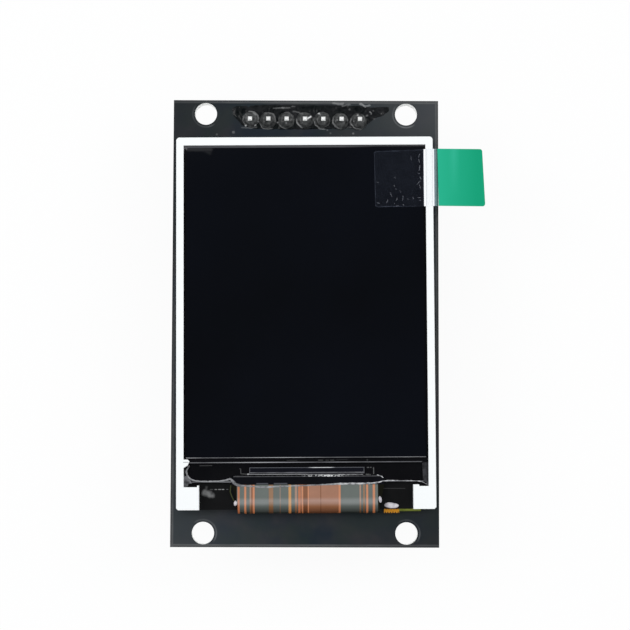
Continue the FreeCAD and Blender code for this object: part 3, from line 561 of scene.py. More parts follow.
# %% Floor
FLOOR_CLEARANCE = 0.02
FLOOR_SIZE = 6
PLAIN_WHITE_SHARE = 0.93
floor_height = cad_box[0].z - FLOOR_CLEARANCE * MM
clear_selection()
bpy.ops.mesh.primitive_plane_add(size=FLOOR_SIZE, location=(0, 0, floor_height))
floor = bpy.context.object
floor.name = "floor"
paper = bpy.data.materials.new("floor paper")
paper.use_nodes = True
tree = paper.node_tree
tree.nodes.clear()
white = add(tree, "Emission", {"Color": UNTOUCHED, "Strength": 1.0})
sheet = add(tree, "BsdfDiffuse", {"Color": (0.9, 0.9, 0.9, 1)})
rays = add_node(tree, "LightPath").outputs
camera_ray, glossy_ray, clear_ray = [
    Field(rays[label]) for label in ("Is Camera Ray", "Is Glossy Ray", "Is Transmission Ray")]
looks = camera_ray | glossy_ray | clear_ray
surface = add(tree, "MixShader", {0: looks * PLAIN_WHITE_SHARE, 1: sheet, 2: white})
add_node(tree, "OutputMaterial", {"Surface": surface})
floor.data.materials.append(paper)
print("floor at z, mm:", round(floor_height / MM, 3))

# %% [markdown]
# ## Light round the row of pins
# The soldered row is the liveliest spot: each wet-looking joint throws back the lights as arcs,
# the flux between them shows streaks and dots of light, and specks lie about on the board. The
# arcs, streaks and dots are painted reflections, drawn into the colour. Where these fall is
# traced once, in millimetres on the board, and the board, the flux and the joints all read the
# same marks, so that an arc can run from a joint down onto the flux without a break.

# %% Marks round the pins
PIN_ROW_X = [-0.14 + 2.54 * (index - 3) for index in range(7)]
PIN_ROW_Y = 28.14
PIN_ARCS = (
    (0, 1.17, 45, 62, 112), (0, 1.02, 180, 50, 84), (1, 0.96, 50, 78, 92), (1, 1.33, -115, 52, 108),
    (2, 0.95, 47, 68, 80), (2, 1.27, -122, 38, 118), (2, 1.25, -47, 12, 112), (3, 1.16, -150, 46, 150),
    (3, 1.26, -72, 18, 76), (4, 1.29, -132, 64, 118), (5, 1.21, -144, 58, 98), (5, 0.78, 53, 71, 84),
    (6, 1.29, -133, 61, 112), (6, 0.7, 5, 48, 92),
)
PIN_GLINT_STREAKS = [
    (-4.47, 29.78, -2.23, 29.79, 0.2, 86), (-3.35, 29.83, -2.95, 29.84, 0.16, 112),
    (-1.95, 30.02, -1.55, 30.02, 0.16, 82), (-1.84, 29.35, -1.18, 29.22, 0.14, 88),
    (-1.18, 29.22, -0.46, 28.9, 0.14, 98), (3.76, 30.51, 5.11, 30.45, 0.3, 104),
    (5.11, 30.15, 6.03, 30.31, 0.26, 86), (7.59, 30.46, 8.16, 30.02, 0.3, 134),
    (8.16, 30.14, 8.87, 30.25, 0.26, 112), (8.87, 29.38, 9.01, 29.03, 0.14, 130),
    (5.8, 27.12, 6.25, 27.12, 0.12, 84), (-8.87, 27.05, -6.86, 27.04, 0.14, 86),
    (-7.3, 29.05, -6.95, 28.85, 0.26, 118),
    (1.78, 29.02, 2.04, 28.71, 0.12, 110), (0.1, 28.27, 0.65, 28.53, 0.2, 250),
    dot(-8.37, 27.32, 0.22, 190), dot(-7.04, 27.32, 0.2, 165), dot(-6.58, 27.85, 0.2, 130),
    dot(1.78, 29.02, 0.2, 205), dot(7.19, 28.69, 0.22, 160), dot(9.37, 29.38, 0.2, 72),
    dot(6.1, 29.59, 0.26, 76), dot(8.44, 28.73, 0.26, 92), dot(9.58, 28.38, 0.24, 72),
    dot(10.43, 29.03, 0.2, 74), dot(-8.4, 28.9, 0.22, 100), dot(-8.72, 28.6, 0.2, 88),
    dot(-3.95, 27.75, 0.26, 122), dot(-2.72, 27.62, 0.16, 104), dot(4.33, 28.1, 0.16, 135),
]
BOARD_SPECKS = [
    dot(-10.07, 26.38, 0.36, 84), dot(-12.38, 26.07, 0.22, 78), dot(6.57, 26.27, 0.26, 98),
    dot(3.41, 26.3, 0.2, 80), dot(2.97, 26.73, 0.2, 90),
]


def pin_glints(finish):
    """The painted glints and reflections round the row of pins, as a brightness; an arc has a pin,
    radius, middle and half angle.
    """
    place = finish.wobble(finish.flat_place, 0.7, 0.5)
    mask = finish.strokes(place, PIN_GLINT_STREAKS, 0.12)
    for index, radius, middle, half, brightness in PIN_ARCS:
        facing = (math.cos(math.radians(middle)), math.sin(math.radians(middle)), 0)
        centre = (PIN_ROW_X[index], PIN_ROW_Y, 0)
        one = use_group(finish.tree, arc_group, Place=place, Centre=centre, Facing=facing,
                        Radius=radius, Spread=math.cos(math.radians(half)), Width=0.14)
        mask = mask | one * glow(brightness)
    return mask * finish.patches(0.45, 3.0).slope(-1.2, 0.7)


print("marks round the pins:", len(PIN_ARCS) + len(PIN_GLINT_STREAKS))

# %% [markdown]
# ## Board
# The board is glass laminate under black solder mask. The mask is not one flat black: it shifts
# between blue and grey in broad patches, stops short of the routed edge, where the laminate shows
# as a lighter rim, and leaves a thin ring round each mounting hole. Light is painted over this: a
# painted sheen at two corners, painted shade along the other diagonal, rim and ring painted
# brighter on their lit sides, the painted glints of the pin row, and hole walls painted near white.
# All of this follows from places on the board, so it is drawn from coordinates and not from an
# image.

# %% Board material
BOARD_HALF = (18.375, 30.875)
HOLE_PLACE = (13.9, 28.95)
board = Finish("black solder mask", 0.45, 0.2)
x, y, z = board.place.parts()
greenish = board.patches(4.0, 5.0, vectors("ADD", board.place, (40, 10, 0)))
diagonal = x * y
# Painted sheen towards two corners, and painted shade along the other diagonal.
sheen = diagonal.slope(60.0, 540.0) * y.slope(-143.0, 120.0)
shade = diagonal.slope(-100.0, -600.0) * 0.6
far_across = abs(x)
far_along = abs(y)
side_gap = BOARD_HALF[0] - far_across
end_gap = BOARD_HALF[1] - far_along
# Painted light: the real rim and the line inside it are drawn brighter on the sides where light falls.
side_light = diagonal.slope(-300.0, 560.0)
end_light = diagonal.slope(-800.0, 0.0)
rim = side_gap.under(0.34, 0.08) * side_light | end_gap.under(0.34, 0.08) * end_light
line = side_gap.band(0.22, 0.42, 0.06) * side_light | end_gap.band(0.22, 0.42, 0.06) * end_light
line = line * board.patches(2.5, 3.0).slope(-0.8, 1.0)
beside = far_across - HOLE_PLACE[0]
along = far_along - HOLE_PLACE[1]
reach = (beside * beside + along * along).root()
# The ring is real, but it is drawn only on its lit side, as a painted highlight.
lean_across = x - x.sign() * HOLE_PLACE[0]
lean_along = HOLE_PLACE[1] - far_along
lit_side = lean_along - lean_across * y.sign()
ring = lit_side.over(0.5, 0.9) * board.patches(2.4, 2.0) * reach.band(1.74, 1.92, 0.1)
ring = ring * diagonal.slope(-1200.0, 300.0)
# Pale specks on the board, with the painted glints of the pin row over them.
pale_spots = board.strokes(board.flat_place, BOARD_SPECKS, 0.12) | pin_glints(board) * 0.9
mask_colour = layered(
    board.mottle((21, 31, 41), (44, 44, 47), 6.0, 4.5), (greenish * 0.5, (28, 40, 37)),
    (sheen, (70, 72, 75)), (shade, (22, 24, 26)), (rim, (66, 67, 68)), (line, (88, 89, 90)),
    (ring, (104, 106, 108)), (pale_spots, WHITE))
facing = abs(add(board.tree, "NewGeometry", output="Normal").parts()[2])
wall = facing.under(0.5)
layers = add(board.tree, "TexWave", {"Vector": board.place, "Scale": 1.2, "Distortion": 1.5}, 1,
             bands_direction="Z")
laminate = blend(layers, (48, 46, 41), (68, 64, 54))
# Painted light: inside the holes the wall is drawn near white, as bright as the floor seen through them.
laminate = blend(reach.under(1.7, 0.1), laminate, (252, 252, 250))
board.colour(blend(wall, mask_colour, laminate))
board.bump(0.5, 0.4, 0.03)
dress(board, "circuit_board")

# %% [markdown]
# ## Light frame
# The frame is moulded white plastic, nearly as white as the background. What gives it away as
# plastic is the soft edge: a mould never leaves a sharp one. The CAD mesh stays as it is, so a
# Bevel node rounds its edges in the shading, and a fine grain keeps the gloss from being perfect.

# %% Frame plastic
plastic = Finish("white moulded plastic", 0.4, 0.4)
tone = plastic.mottle((246, 248, 248), (250, 251, 251), 7.0, 1.5)
# Painted shadow: a grey line on the frame beside the claw, where the upper glass shades it.
claw_shadow_line = plastic.strokes(plastic.flat_plan, [(-16.59, -19.0, -15.99, -18.98, 0.1, 246)])
plastic.colour(blend(claw_shadow_line, tone, (146, 148, 150)))
plastic.bump(0.12, 0.5, 0.01, bevel=0.07)
dress(plastic, "light_frame")

# %% [markdown]
# ## Tapes, reflector and films
# White foam tape holds the display up, a white reflector sheet closes it below, and black tape
# rings the light opening and covers the sill between the feet. They show between other pieces
# and from the sides, so each gets its own grain: open cells in the foam, a fine tooth on tape.
# The black tape also carries a row of pale dashes, where its edge lifts, and a grey smear of glue
# with a painted highlight on it.

# %% Foam, reflector, tape and films
foam = plain("white foam tape", (0.85, 0.2), (205, 205, 200), (228, 228, 224), (0.4, 3.0),
             (0.08, 1.0, 0.05))
dress(foam, "mounting_tape*")
reflector = plain("white reflector film", (0.3,), (228, 230, 232), (238, 240, 241), (3.0,),
                  (0.2, 0.5, 0.005))
dress(reflector, "reflector_sheet")
guide = plain("light guide plastic", (0.15,), (225, 230, 232), (238, 240, 242), (1.0,), (0.3, 0.4, 0.01))
dress(guide, "light_guide", "diffuser_sheet", "prism_sheet*")

TAPE_DASHES = [
    (-13.07, -22.7, -12.7, -22.7, 0.06, 90), (-12.42, -22.7, -12.16, -22.7, 0.07, 150),
    (-11.92, -22.7, -11.61, -22.7, 0.08, 150), (-11.43, -22.7, -11.2, -22.7, 0.08, 165),
    (-10.82, -22.7, -10.64, -22.7, 0.06, 110), (10.54, -22.67, 13.44, -22.69, 0.06, 62),
]
TAPE_SMEAR_AND_GLINT = [
    (-13.8, -23.1, -13.2, -23.4, 0.72, 116), (-13.3, -23.45, -12.75, -23.5, 0.42, 112),
    (-13.62, -22.9, -13.57, -22.4, 0.08, 84),
]
OLIVE_EDGE = path([(-10.25, -22.19), (-10.34, -23.03), (-10.13, -23.64), (-9.83, -24.24)], 0.12, 252)
tape = Finish("black tape", 0.35, 0.1)
base = blend(tape.patches(2.5, 2.0, tape.plan), (11, 11, 12), (20, 20, 21))
base = tape.marked(base, TAPE_DASHES)
# The smear is glue on the tape, drawn pale as a painted highlight.
smear_and_glint = tape.strokes(tape.wobble(tape.flat_plan, 0.6, 0.4), TAPE_SMEAR_AND_GLINT, 0.4)
base = blend(smear_and_glint * tape.patches(0.4, 2.0).slope(-2.0, 0.6), base, WHITE)
tape.colour(blend(tape.strokes(tape.flat_plan, OLIVE_EDGE), base, (78, 82, 52)))
tape.bump(0.15, 0.6, 0.01)
dress(tape, "rim_tape")

# %% [markdown]
# ## Screen
# The screen is a stack: glass, polariser and a thin protective film. All that shows from above
# is a deep blue-black gloss and, along the lower edge, two thin pale lines, where the polariser
# was cut and where the glass was ground. Real transparency would cost time and show nothing
# more, so the layers are dark and the lines are bands at the layers' own edges. Both lines
# brighten and fade along their way with a painted highlight, where the light would catch them,
# and a painted glint sits in the window's top left corner, beside a faint haze.

# %% Polarisers, glass and protective film
FILTER_END = -19.12
ARRAY_END = -21.74
POLARISER_END = -18.45
GLASS_FAR = 24.26
# A faint haze near the window's top left corner, and a painted glint in the corner itself.
CORNER_HAZE_AND_GLINT = [
    (-15.9, 23.85, -12.9, 23.8, 0.35, 50), (-13.6, 23.6, -13.0, 23.3, 0.3, 32),
    dot(-16.3, 23.9, 0.1, 150),
]
polariser = Finish("dark polariser", 0.1, 0.4)
u, v, h = polariser.plan.parts()
deep = polariser.marked(polariser.mottle((13, 14, 18), (14, 16, 22), 25.0), CORNER_HAZE_AND_GLINT, 0.5)
cut = v.band(POLARISER_END - 0.1, POLARISER_END + 0.09, 0.03)
# Painted highlight: where the light catches the polariser's cut edge.
painted_glint = u.hump(-3.5, 7.0) | u.hump(-16.2, 2.5)
painted_glint = painted_glint | u.hump(13.5, 5.0) * 0.4
faint = polariser.mottle((100, 100, 103), (124, 124, 127), 1.6, 2.5)
polariser.colour(blend(cut, deep, blend(painted_glint, faint, (170, 170, 173))))
polariser.bump(3.0, 0.3, 0.01)
dress(polariser, "front_polariser", "rear_polariser")

film = Finish("clear protective film on the dark screen", 0.06, 0.45)
shade = film.marked(film.mottle((10, 11, 14), (13, 15, 21), 22.0), CORNER_HAZE_AND_GLINT, 0.5)
pale_spots = use_group(film.tree, dust_group, Place=film.place, Size=3.5, Amount=0.012)
film.colour(blend(pale_spots * 0.5, shade, (60, 62, 66)))
film.bump(6.0, 0.5, 0.01)
dress(film, "protective_film")

# Smudges below the polariser's edge, and a painted glint in the window's top left corner.
GLASS_MARKS = [
    (1.68, -18.8, 2.25, -18.8, 0.1, 66), (2.69, -18.8, 3.06, -18.8, 0.08, 62),
    (3.31, -18.8, 3.75, -18.8, 0.1, 66), dot(8.3, -18.8, 0.12, 74),
    (-2.6, -18.8, -1.2, -18.8, 0.08, 46), (4.1, -18.72, 5.6, -18.7, 0.06, 40),
    dot(-16.42, 24.02, 0.2, 140),
]
glass = Finish("panel glass", 0.08)
u, v, h = glass.plan.parts()
upper = h.over(1.72, 0.02)
ground = v.band(FILTER_END - 0.1, FILTER_END + 0.12, 0.03) * upper
ground = ground * u.under(15.7, 0.2)
far_strip = v.over(GLASS_FAR - 0.4, 0.02) * u.slope(9.5, 5.0)
far_strip = (far_strip | v.over(GLASS_FAR - 0.1, 0.04)) * upper
lower = v.band(ARRAY_END - 0.1, ARRAY_END + 0.12, 0.04)
# Painted highlight: where the light catches the ground edges of the glass.
painted_glint = u.hump(-6.3, 7.5) | u.hump(5.0, 3.0) * 0.25
body = glass.marked(glass.mottle((11, 11, 13), (15, 15, 17), 6.0), GLASS_MARKS)
frost_and_glint = blend(painted_glint, glass.mottle((88, 88, 91), (108, 108, 112), 1.6, 2.5), (158, 158, 162))
glass.colour(layered(body, (far_strip, (84, 85, 88)), (ground | lower, frost_and_glint)))
glass.bump(2.0, 0.3, 0.01)
dress(glass, "array_glass", "colour_filter_glass")

L_MARKS = path([(-9.0, -19.9), (-8.88, -19.95), (-8.85, -20.58), (-7.85, -20.66)], 0.08, 84)
L_MARKS += path([(9.15, -19.84), (9.17, -20.65)], 0.1, 100)
L_MARKS += [(8.3, -19.81, 8.5, -19.81, 0.08, 110), (8.7, -19.81, 8.84, -19.81, 0.08, 100)]
L_MARKS += [(8.14, -20.74, 8.5, -20.74, 0.1, 100), (8.5, -20.76, 8.77, -20.78, 0.08, 80)]
L_MARKS += [(-14.42, -19.46, -12.79, -19.45, 0.08, 66)]
coat = Finish("clear coat on the ledge", 0.1)
coat.colour(coat.marked(coat.mottle((11, 11, 13), (16, 16, 18), 3.0), L_MARKS))
coat.bump(0.9, 0.5, 0.02)
dress(coat, "ledge_sealant")

# %% [markdown]
# ## Driver chip
# A long bare sliver of silicon sits on the glass. Its sawn edges catch the light as a thin
# outline, brightest in the middle of the upper edge. The outline is drawn from the chip's own
# place on the display, so it would follow the chip if its size changed.

# %% Chip material
DRIVER = (-7.7, 7.9, -20.65, -19.74)
chip = Finish("bare silicon", 0.18)
u, v, h = chip.plan.parts()
top_line = v.over(DRIVER[3] - 0.09, 0.03)
middle_line = v.band(DRIVER[2] + 0.14, DRIVER[2] + 0.25, 0.05)
low_line = v.under(DRIVER[2] + 0.1, 0.03)
end_line = u.under(DRIVER[0] + 0.1) | u.over(DRIVER[1] - 0.1)
middle_tone = chip.mottle((84, 84, 88), (116, 116, 120), 1.2, 3.0)
glint = top_line * u.band(0.6, 3.6, 0.8)
chip.colour(layered(
    chip.mottle((12, 13, 20), (17, 18, 26), 3.0), (end_line | top_line, (84, 85, 90)),
    (middle_line, middle_tone), (low_line, (50, 50, 54)), (glint, (205, 205, 208))))
chip.bump(0.3, 0.3, 0.004)
dress(chip, "driver_chip")

# %% [markdown]
# ## Display flex
# The flex is amber-grey film with copper tracks of very different widths under it. The tracks
# already stand out as ribs in the CAD shape. The material follows them with two colour ramps
# that change in hard steps across the flex, one for each half, because one ramp holds only 32
# stops. A stop's alpha tells bare laminate, wide copper and bright copper apart, since each gets
# its own painted shade where the flex folds away from the light. A faint painted highlight runs
# across the fold, and a pale line and a row of glints along the bonded end's edge are painted
# highlights too. Its bonded end is printed black, and its untracked margin is dark olive.

# %% Copper stripes
IS_LAMINATE, IS_WIDE, IS_BRIGHT = 0, 0.7, 1
LAMINATE = (106, 112, 108, IS_LAMINATE)
PINK = (168, 138, 122, IS_WIDE)
BROWN = (134, 92, 70, IS_WIDE)
COPPER = (164, 120, 99, IS_WIDE)
TAN = (150, 118, 94, IS_WIDE)
ORANGE = (188, 122, 90, IS_BRIGHT)
BRIGHT = (200, 138, 106, IS_BRIGHT)
GOLD = (204, 152, 100, IS_BRIGHT)
LEFT_STRIPES = (
    (-10.0, LAMINATE), (-9.32, ORANGE), (-9.04, LAMINATE), (-8.45, BRIGHT), (-8.17, LAMINATE),
    (-7.70, PINK), (-7.48, BROWN), (-7.30, BRIGHT), (-7.02, LAMINATE), (-5.10, TAN),
    (-4.50, LAMINATE), (-3.60, PINK), (-3.51, LAMINATE), (-2.43, GOLD), (-2.06, LAMINATE),
    (-1.55, PINK), (-1.24, LAMINATE), (-1.11, ORANGE), (-0.81, COPPER), (-0.64, BRIGHT),
    (-0.42, BROWN), (0.18, BRIGHT),
)
RIGHT_STRIPES = (
    (0.36, COPPER), (1.90, BROWN), (2.00, COPPER), (4.37, BRIGHT), (4.63, LAMINATE),
    (7.19, PINK), (7.42, LAMINATE), (7.68, TAN), (7.95, LAMINATE), (8.10, BRIGHT),
    (8.37, LAMINATE), (9.00, BRIGHT), (9.30, LAMINATE),
)
RAMP_SPAN = 10.4


def stripe_ramp(finish, across, stripes):
    """The stripes as a colour and as a number that tells their kind."""
    low = stripes[0][0]
    ramp = add_node(finish.tree, "ValToRGB", {0: across.slope(low, low + RAMP_SPAN)})
    ramp.color_ramp.interpolation = "CONSTANT"
    stops = ramp.color_ramp.elements
    stops.remove(stops[1])
    for start, (red, green, blue, kind) in stripes:
        stop = stops[0] if start == low else stops.new((start - low) / RAMP_SPAN)
        stop.color = (*colour(red, green, blue)[:3], kind)
    return [Field(one) for one in ramp.outputs]


flex = Finish("copper flex", 0.34, 0.08)
u, v, h = flex.plan.parts()
left_half = stripe_ramp(flex, u, LEFT_STRIPES)
right_half = stripe_ramp(flex, u, RIGHT_STRIPES)
on_right = u.over(RIGHT_STRIPES[0][0], 0.01)
# A faint painted highlight runs across the fold.
tracks = layered(
    blend(on_right, left_half[0], right_half[0]), (flex.patches(1.2) * 0.12, (70, 66, 58)),
    (v.band(-24.85, -24.0, 0.4) * 0.1, (240, 240, 244)))
kind = blend(on_right, left_half[1], right_half[1])
copper = kind > 0.5
bright = kind > 0.9
# Painted shade where the flex folds away: laminate, wide copper and bright copper each darken their own
# way.
bare_shade = blend(v.slope(-24.5, -25.9), UNTOUCHED, (0.1, 0.11, 0.1, 1))
copper_shade = blend(v.slope(-24.3, -25.1), UNTOUCHED, (0.62, 0.5, 0.36, 1))
copper_low_shade = blend(v.slope(-25.1, -25.8), UNTOUCHED, (0.45, 0.36, 0.26, 1))
bright_shade = blend(v.slope(-24.5, -25.9), UNTOUCHED, (0.7, 0.5, 0.3, 1))
copper_shade = blend(bright, times(copper_shade, copper_low_shade), bright_shade)
tracks = times(tracks, blend(copper, bare_shade, copper_shade))
margin = u.under(-9.4, 0.05) | u.over(9.72, 0.05)
tracks = blend(margin, tracks, (17, 17, 9))
# Painted highlights along the edge of the bonded end: a row of glints and a pale line.
bond_glints = flex.patches(0.22, 9.0) * (u.hump(2.6, 3.4) | 0.03)
marks = u.band(-6.76, -5.17, 0.1) | u.band(-4.38, -2.57, 0.1)
navy = layered(
    flex.mottle((8, 9, 13), (13, 14, 20), 2.0), (v.band(-21.03, -20.93, 0.04) * 0.3, (120, 120, 124)),
    (bond_glints * v.band(-21.0, -20.8, 0.05), WHITE), (marks * v.band(-22.02, -21.86, 0.06), (78, 80, 86)))
flex.colour(blend(v.over(-22.1, 0.1), tracks, navy))
flex.bump(0.4, 0.5, 0.01)
dress(flex, "display_flex")

# %% [markdown]
# ## Lamp flex and lamps
# The strip that carries the lamps shows only as a little tab at the lower right: an amber comb
# of contacts, then a yellow-green line of bare film. Two bands across the strip make the change.

# %% Lamp flex material
COMB = (10.56, 12.66)
amber = Finish("amber lamp flex", 0.4, 0.3)
u, v, h = amber.plan.parts()
comb = u.band(COMB[0] - 0.1, COMB[1], 0.05)
gold = amber.mottle((196, 128, 18), (216, 148, 32), 0.4)
teeth = v.band(-25.55, -25.2, 0.05) * comb
teeth = teeth * (u - COMB[0]).fold(0.175).under(0.07, 0.04)
amber.colour(layered(
    amber.mottle((104, 112, 26), (140, 148, 56), 0.8), (v.under(-25.74, 0.08), (66, 72, 24)),
    (comb, gold), (teeth, (96, 54, 12))))
amber.bump(0.2, 0.5, 0.01)
dress(amber, "lamp_flex")

lamp_case = plain("lamp case", (0.35,), (222, 218, 190), (235, 232, 214), (0.6,), (0.2, 0.5, 0.01))
dress(lamp_case, "lamp_1", "lamp_2", "lamp_3", "lamp_4")

# %% [markdown]
# ## Header and rear parts
# Below the board hang the black header strip with its pins and a row of small parts. A pin's
# cut end is rougher and brighter than its sides. Chip parts are bodies with metal caps, told
# apart by how far a point lies from the middle of their row.

# %% Header and small parts
strip = plain("black header plastic", (0.45, 0.35), (22, 22, 23), (32, 32, 33), (1.5,),
              (0.12, 0.7, 0.02, 0.08))
dress(strip, "header_strip")

pin = Finish("tinned pin", 0.34, Metallic=0.85)
x, y, z = pin.place.parts()
cut_end = z.over(2.38, 0.02)
pin.colour(layered(
    pin.mottle((196, 190, 172), (224, 218, 200), 0.5), (z.over(1.6, 0.05), (58, 58, 57)),
    (cut_end, (252, 252, 250))))
pin.join(0.3 + cut_end * 0.3, "Roughness")
pin.bump(0.15, 0.5, 0.01, bevel=0.04)
dress(pin, "header_pin*")

PARTS_ROW = 16.0
TERMINAL_START = 0.5
for name, nodes, dark, light in (
        ("chip resistor", "chip_resistor*", (24, 24, 26), (34, 34, 36)),
        ("chip capacitor", "chip_capacitor*", (138, 110, 82), (160, 130, 98))):
    chip_part = Finish(name, 0.4)
    cap = abs(chip_part.place.parts()[1] - PARTS_ROW).over(TERMINAL_START, 0.03)
    core = chip_part.mottle(dark, light, 0.3)
    tin = chip_part.mottle((186, 187, 190), (214, 214, 216), 0.25)
    chip_part.colour(blend(cap, core, tin))
    chip_part.join(cap * 0.9, "Metallic")
    chip_part.bump(0.1, 0.6, 0.01, bevel=0.05)
    dress(chip_part, nodes)

CASE_MIDDLES = (-12.6, 4.2)
CASE_HALF = 0.655
case = Finish("moulded case with tinned leads", 0.45)
x, y, z = case.place.parts()
from_middle = abs(x - CASE_MIDDLES[0]) & abs(x - CASE_MIDDLES[1])
out_of_case = from_middle.over(CASE_HALF, 0.02)
case.colour(blend(out_of_case, case.mottle((26, 26, 27), (38, 38, 39), 0.6), (200, 200, 202)))
case.join(out_of_case * 0.9, "Metallic")
case.bump(0.1, 0.7, 0.015, bevel=0.04)
dress(case, "backlight_transistor", "voltage_regulator")

solder = plain("bright solder", (0.22,), (176, 178, 182), (214, 214, 216), (0.3,), (0.3, 0.6, 0.03),
               Metallic=0.9)
dress(solder, "flex_solder", "solder_joint*")

# %% [markdown]
# ## Solder joints
# Each pin stands in a mound of solder, sunk in dark flux, so it looks like a small black dome
# with a pale ring of light round it. The CAD joint is a plain cone. A better one is turned: a
# profile is drawn by extruding a vertex, spun once round the pin and roughened a little. One
# dome is modelled and then copied, and each copy is turned so that no two look the same.

# %% Dark solder material
joint = Finish("solder under flux", 0.3, 0.4)
# The pale arcs on each dome are painted reflections, read from the same marks as the board and the flux.
joint.colour(blend(pin_glints(joint), joint.mottle((22, 24, 24), (62, 63, 63), 0.4, 5.0), WHITE))
joint.bump(0.35, 0.8, 0.06)

# %% Domes round the pins
BOARD_TOP = 1.6
DOME_PROFILE = ((1.18, -0.05), (1.18, 0.0), (1.16, 0.12), (1.06, 0.24), (0.98, 0.28), (0.9, 0.42),
                (0.72, 0.58), (0.5, 0.66), (0.3, 0.69))
DOME_SHIFTS = ((0.15, 0.06), (-0.06, -0.04), (-0.03, -0.05), (0.0, -0.02), (-0.14, -0.02),
               (-0.16, -0.16), (-0.2, -0.2))
DOME_TURN = 0.9
# The profile is spun round the upright axis, its doubled seam merged and its two ends closed.
corners = [on_board(radius, 0, BOARD_TOP + rise) for radius, rise in DOME_PROFILE]
pattern = draw_line("dome_pattern", corners)
bpy.ops.mesh.spin(steps=48, angle=2 * math.pi, center=(0, 0, 0), axis=(0, 0, 1))
bpy.ops.mesh.select_all(action="SELECT")
bpy.ops.mesh.remove_doubles(threshold=0.0001 * MM)
bpy.ops.mesh.select_all(action="DESELECT")
bpy.ops.mesh.select_non_manifold()
bpy.ops.mesh.edge_face_add()
bpy.ops.mesh.select_all(action="SELECT")
bpy.ops.mesh.normals_make_consistent(inside=False)
bpy.ops.mesh.subdivide(number_cuts=1)

lumps = clouds("lumps", 0.55)
for index, (x, (across, along)) in enumerate(zip(PIN_ROW_X, DOME_SHIFTS)):
    place = on_board(x + across, PIN_ROW_Y + along, 0)
    pick(pattern)
    bpy.ops.object.duplicate_move(TRANSFORM_OT_translate={"value": place})
    dome = bpy.context.object
    dome.name = f"joint_dome_{index + 1}"
    edit(dome)
    bpy.ops.transform.rotate(value=index * DOME_TURN, orient_axis="Z", center_override=place)
    bpy.ops.object.mode_set(mode="OBJECT")
    dent(dome, lumps, 0.14)
    settle(dome, joint.material, "solder", f"solder_joint_{index + 1}")
pick(pattern)
bpy.ops.object.delete()

# %% [markdown]
# ## Flux
# When the pins were soldered, flux ran out round them and dried to a glossy black pool with a
# ragged outline. Its outline is traced, filled and given some depth. A voxel remesh then turns
# it into even little faces, which a cloud texture can push up and down into ripples.

# %% Flux pool
flux = Finish("dried flux", 0.25, 0.14)
# The streaks and dots on the pool are painted reflections from the row of pins.
flux.colour(blend(pin_glints(flux), flux.mottle((2, 7, 8), (24, 25, 27), 1.4, 4.0), WHITE))
flux.bump(0.5, 0.6, 0.05)
FLUX_OUTLINE = (
    (-10.4, 29.7), (-9.6, 30.1), (-6.1, 30.3), (-2.2, 30.3), (1.7, 30.25), (5.4, 30.3), (8.6, 30.05),
    (11.5, 30.05), (11.6, 29.45), (11.0, 28.85), (9.6, 28.4), (8.6, 27.6), (6.4, 26.95), (3.3, 26.85),
    (-0.8, 26.8), (-4.5, 26.75), (-7.4, 26.9), (-8.9, 27.35), (-9.6, 28.2), (-10.3, 28.9),
)
pool = draw_sheet("flux_pool", [on_board(x, y, BOARD_TOP - 0.16) for x, y in FLUX_OUTLINE], 0.26)
apply_modifier(pool, "REMESH", mode="VOXEL", voxel_size=0.09 * MM)
apply_modifier(pool, "SMOOTH", factor=0.6, iterations=6)
dent(pool, clouds("ripples", 0.9), 0.34, direction="Z")
apply_modifier(pool, "SMOOTH", factor=0.5, iterations=3)
settle(pool, flux.material, "sealant")

# %% [markdown]
# ## Glue along the glass
# A bead of clear glue seals the edge of the glass and the root of the flex. Seen from above it
# is the pale uneven line round the lower part of the screen. A bead is a tube of changing
# width, so a curve with a radius at each point is the natural start, made a mesh afterwards.
# Finer beads run along the chip's foot and down one corner of the bond, and two thin puddles
# of grey resin fill the corners beside the ledge, where the frame's inner walls lie in shade, so
# their grey is partly painted shade, drawn darker on the left and paler on the right.

# %% Glue beads
glue = Finish("clear glue", 0.2)
u, v, h = glue.plan.parts()
pale = glue.mottle((92, 92, 95), (158, 158, 161), 0.9, 3.0)
paler = glue.mottle((118, 118, 121), (198, 198, 201), 0.5, 4.0)
bright_glue = u.slope(1.5, 5.0) | v.band(-20.8, -20.4, 0.05)
bright_glue = bright_glue * u.band(-9.0, 16.0, 0.5)
chip_foot = v.band(-20.72, -20.4, 0.03) * u.band(-9.0, 0.0, 0.3)
paler = blend(chip_foot, paler, (215, 215, 217))
glue.colour(blend(bright_glue, pale, paler))
glue.bump(0.3, 0.6, 0.03)
LEDGE_TOP = 1.72
BEAD = (
    (-15.93, -19.63, 0.1), (-16.2, -19.92, 0.13), (-16.28, -20.42, 0.14), (-16.05, -20.95, 0.13),
    (-15.55, -21.4, 0.11), (-14.3, -21.59, 0.1), (-13.09, -21.59, 0.09), (-11.88, -21.55, 0.12),
    (-10.67, -21.42, 0.12), (-10.24, -21.25, 0.17), (-9.94, -21.65, 0.24), (-9.46, -22.1, 0.22),
    (-8.25, -22.25, 0.12), (-7.04, -22.31, 0.11), (-5.83, -22.43, 0.12), (-4.62, -22.38, 0.12),
    (-3.41, -22.32, 0.11), (-0.98, -22.24, 0.1), (0.79, -22.18, 0.11), (3.3, -22.08, 0.12),
    (5.43, -21.97, 0.14), (7.94, -21.98, 0.14), (9.2, -21.94, 0.13), (10.08, -21.78, 0.1),
    (10.52, -21.6, 0.07), (12.97, -21.61, 0.06), (15.48, -21.69, 0.06), (15.98, -21.88, 0.06),
    (16.48, -22.19, 0.05),
)
BOND_CORNER = ((9.6, -20.83, 0.05), (10.15, -20.92, 0.06), (10.45, -21.2, 0.07))
UNDERFILL = (
    (-8.0, -20.64, 0.05), (-4.5, -20.65, 0.06), (-1.5, -20.66, 0.05), (-0.2, -20.68, 0.04),
    (0.4, -20.74, 0.045), (2.0, -20.75, 0.06), (3.8, -20.75, 0.06), (7.75, -20.74, 0.035),
)


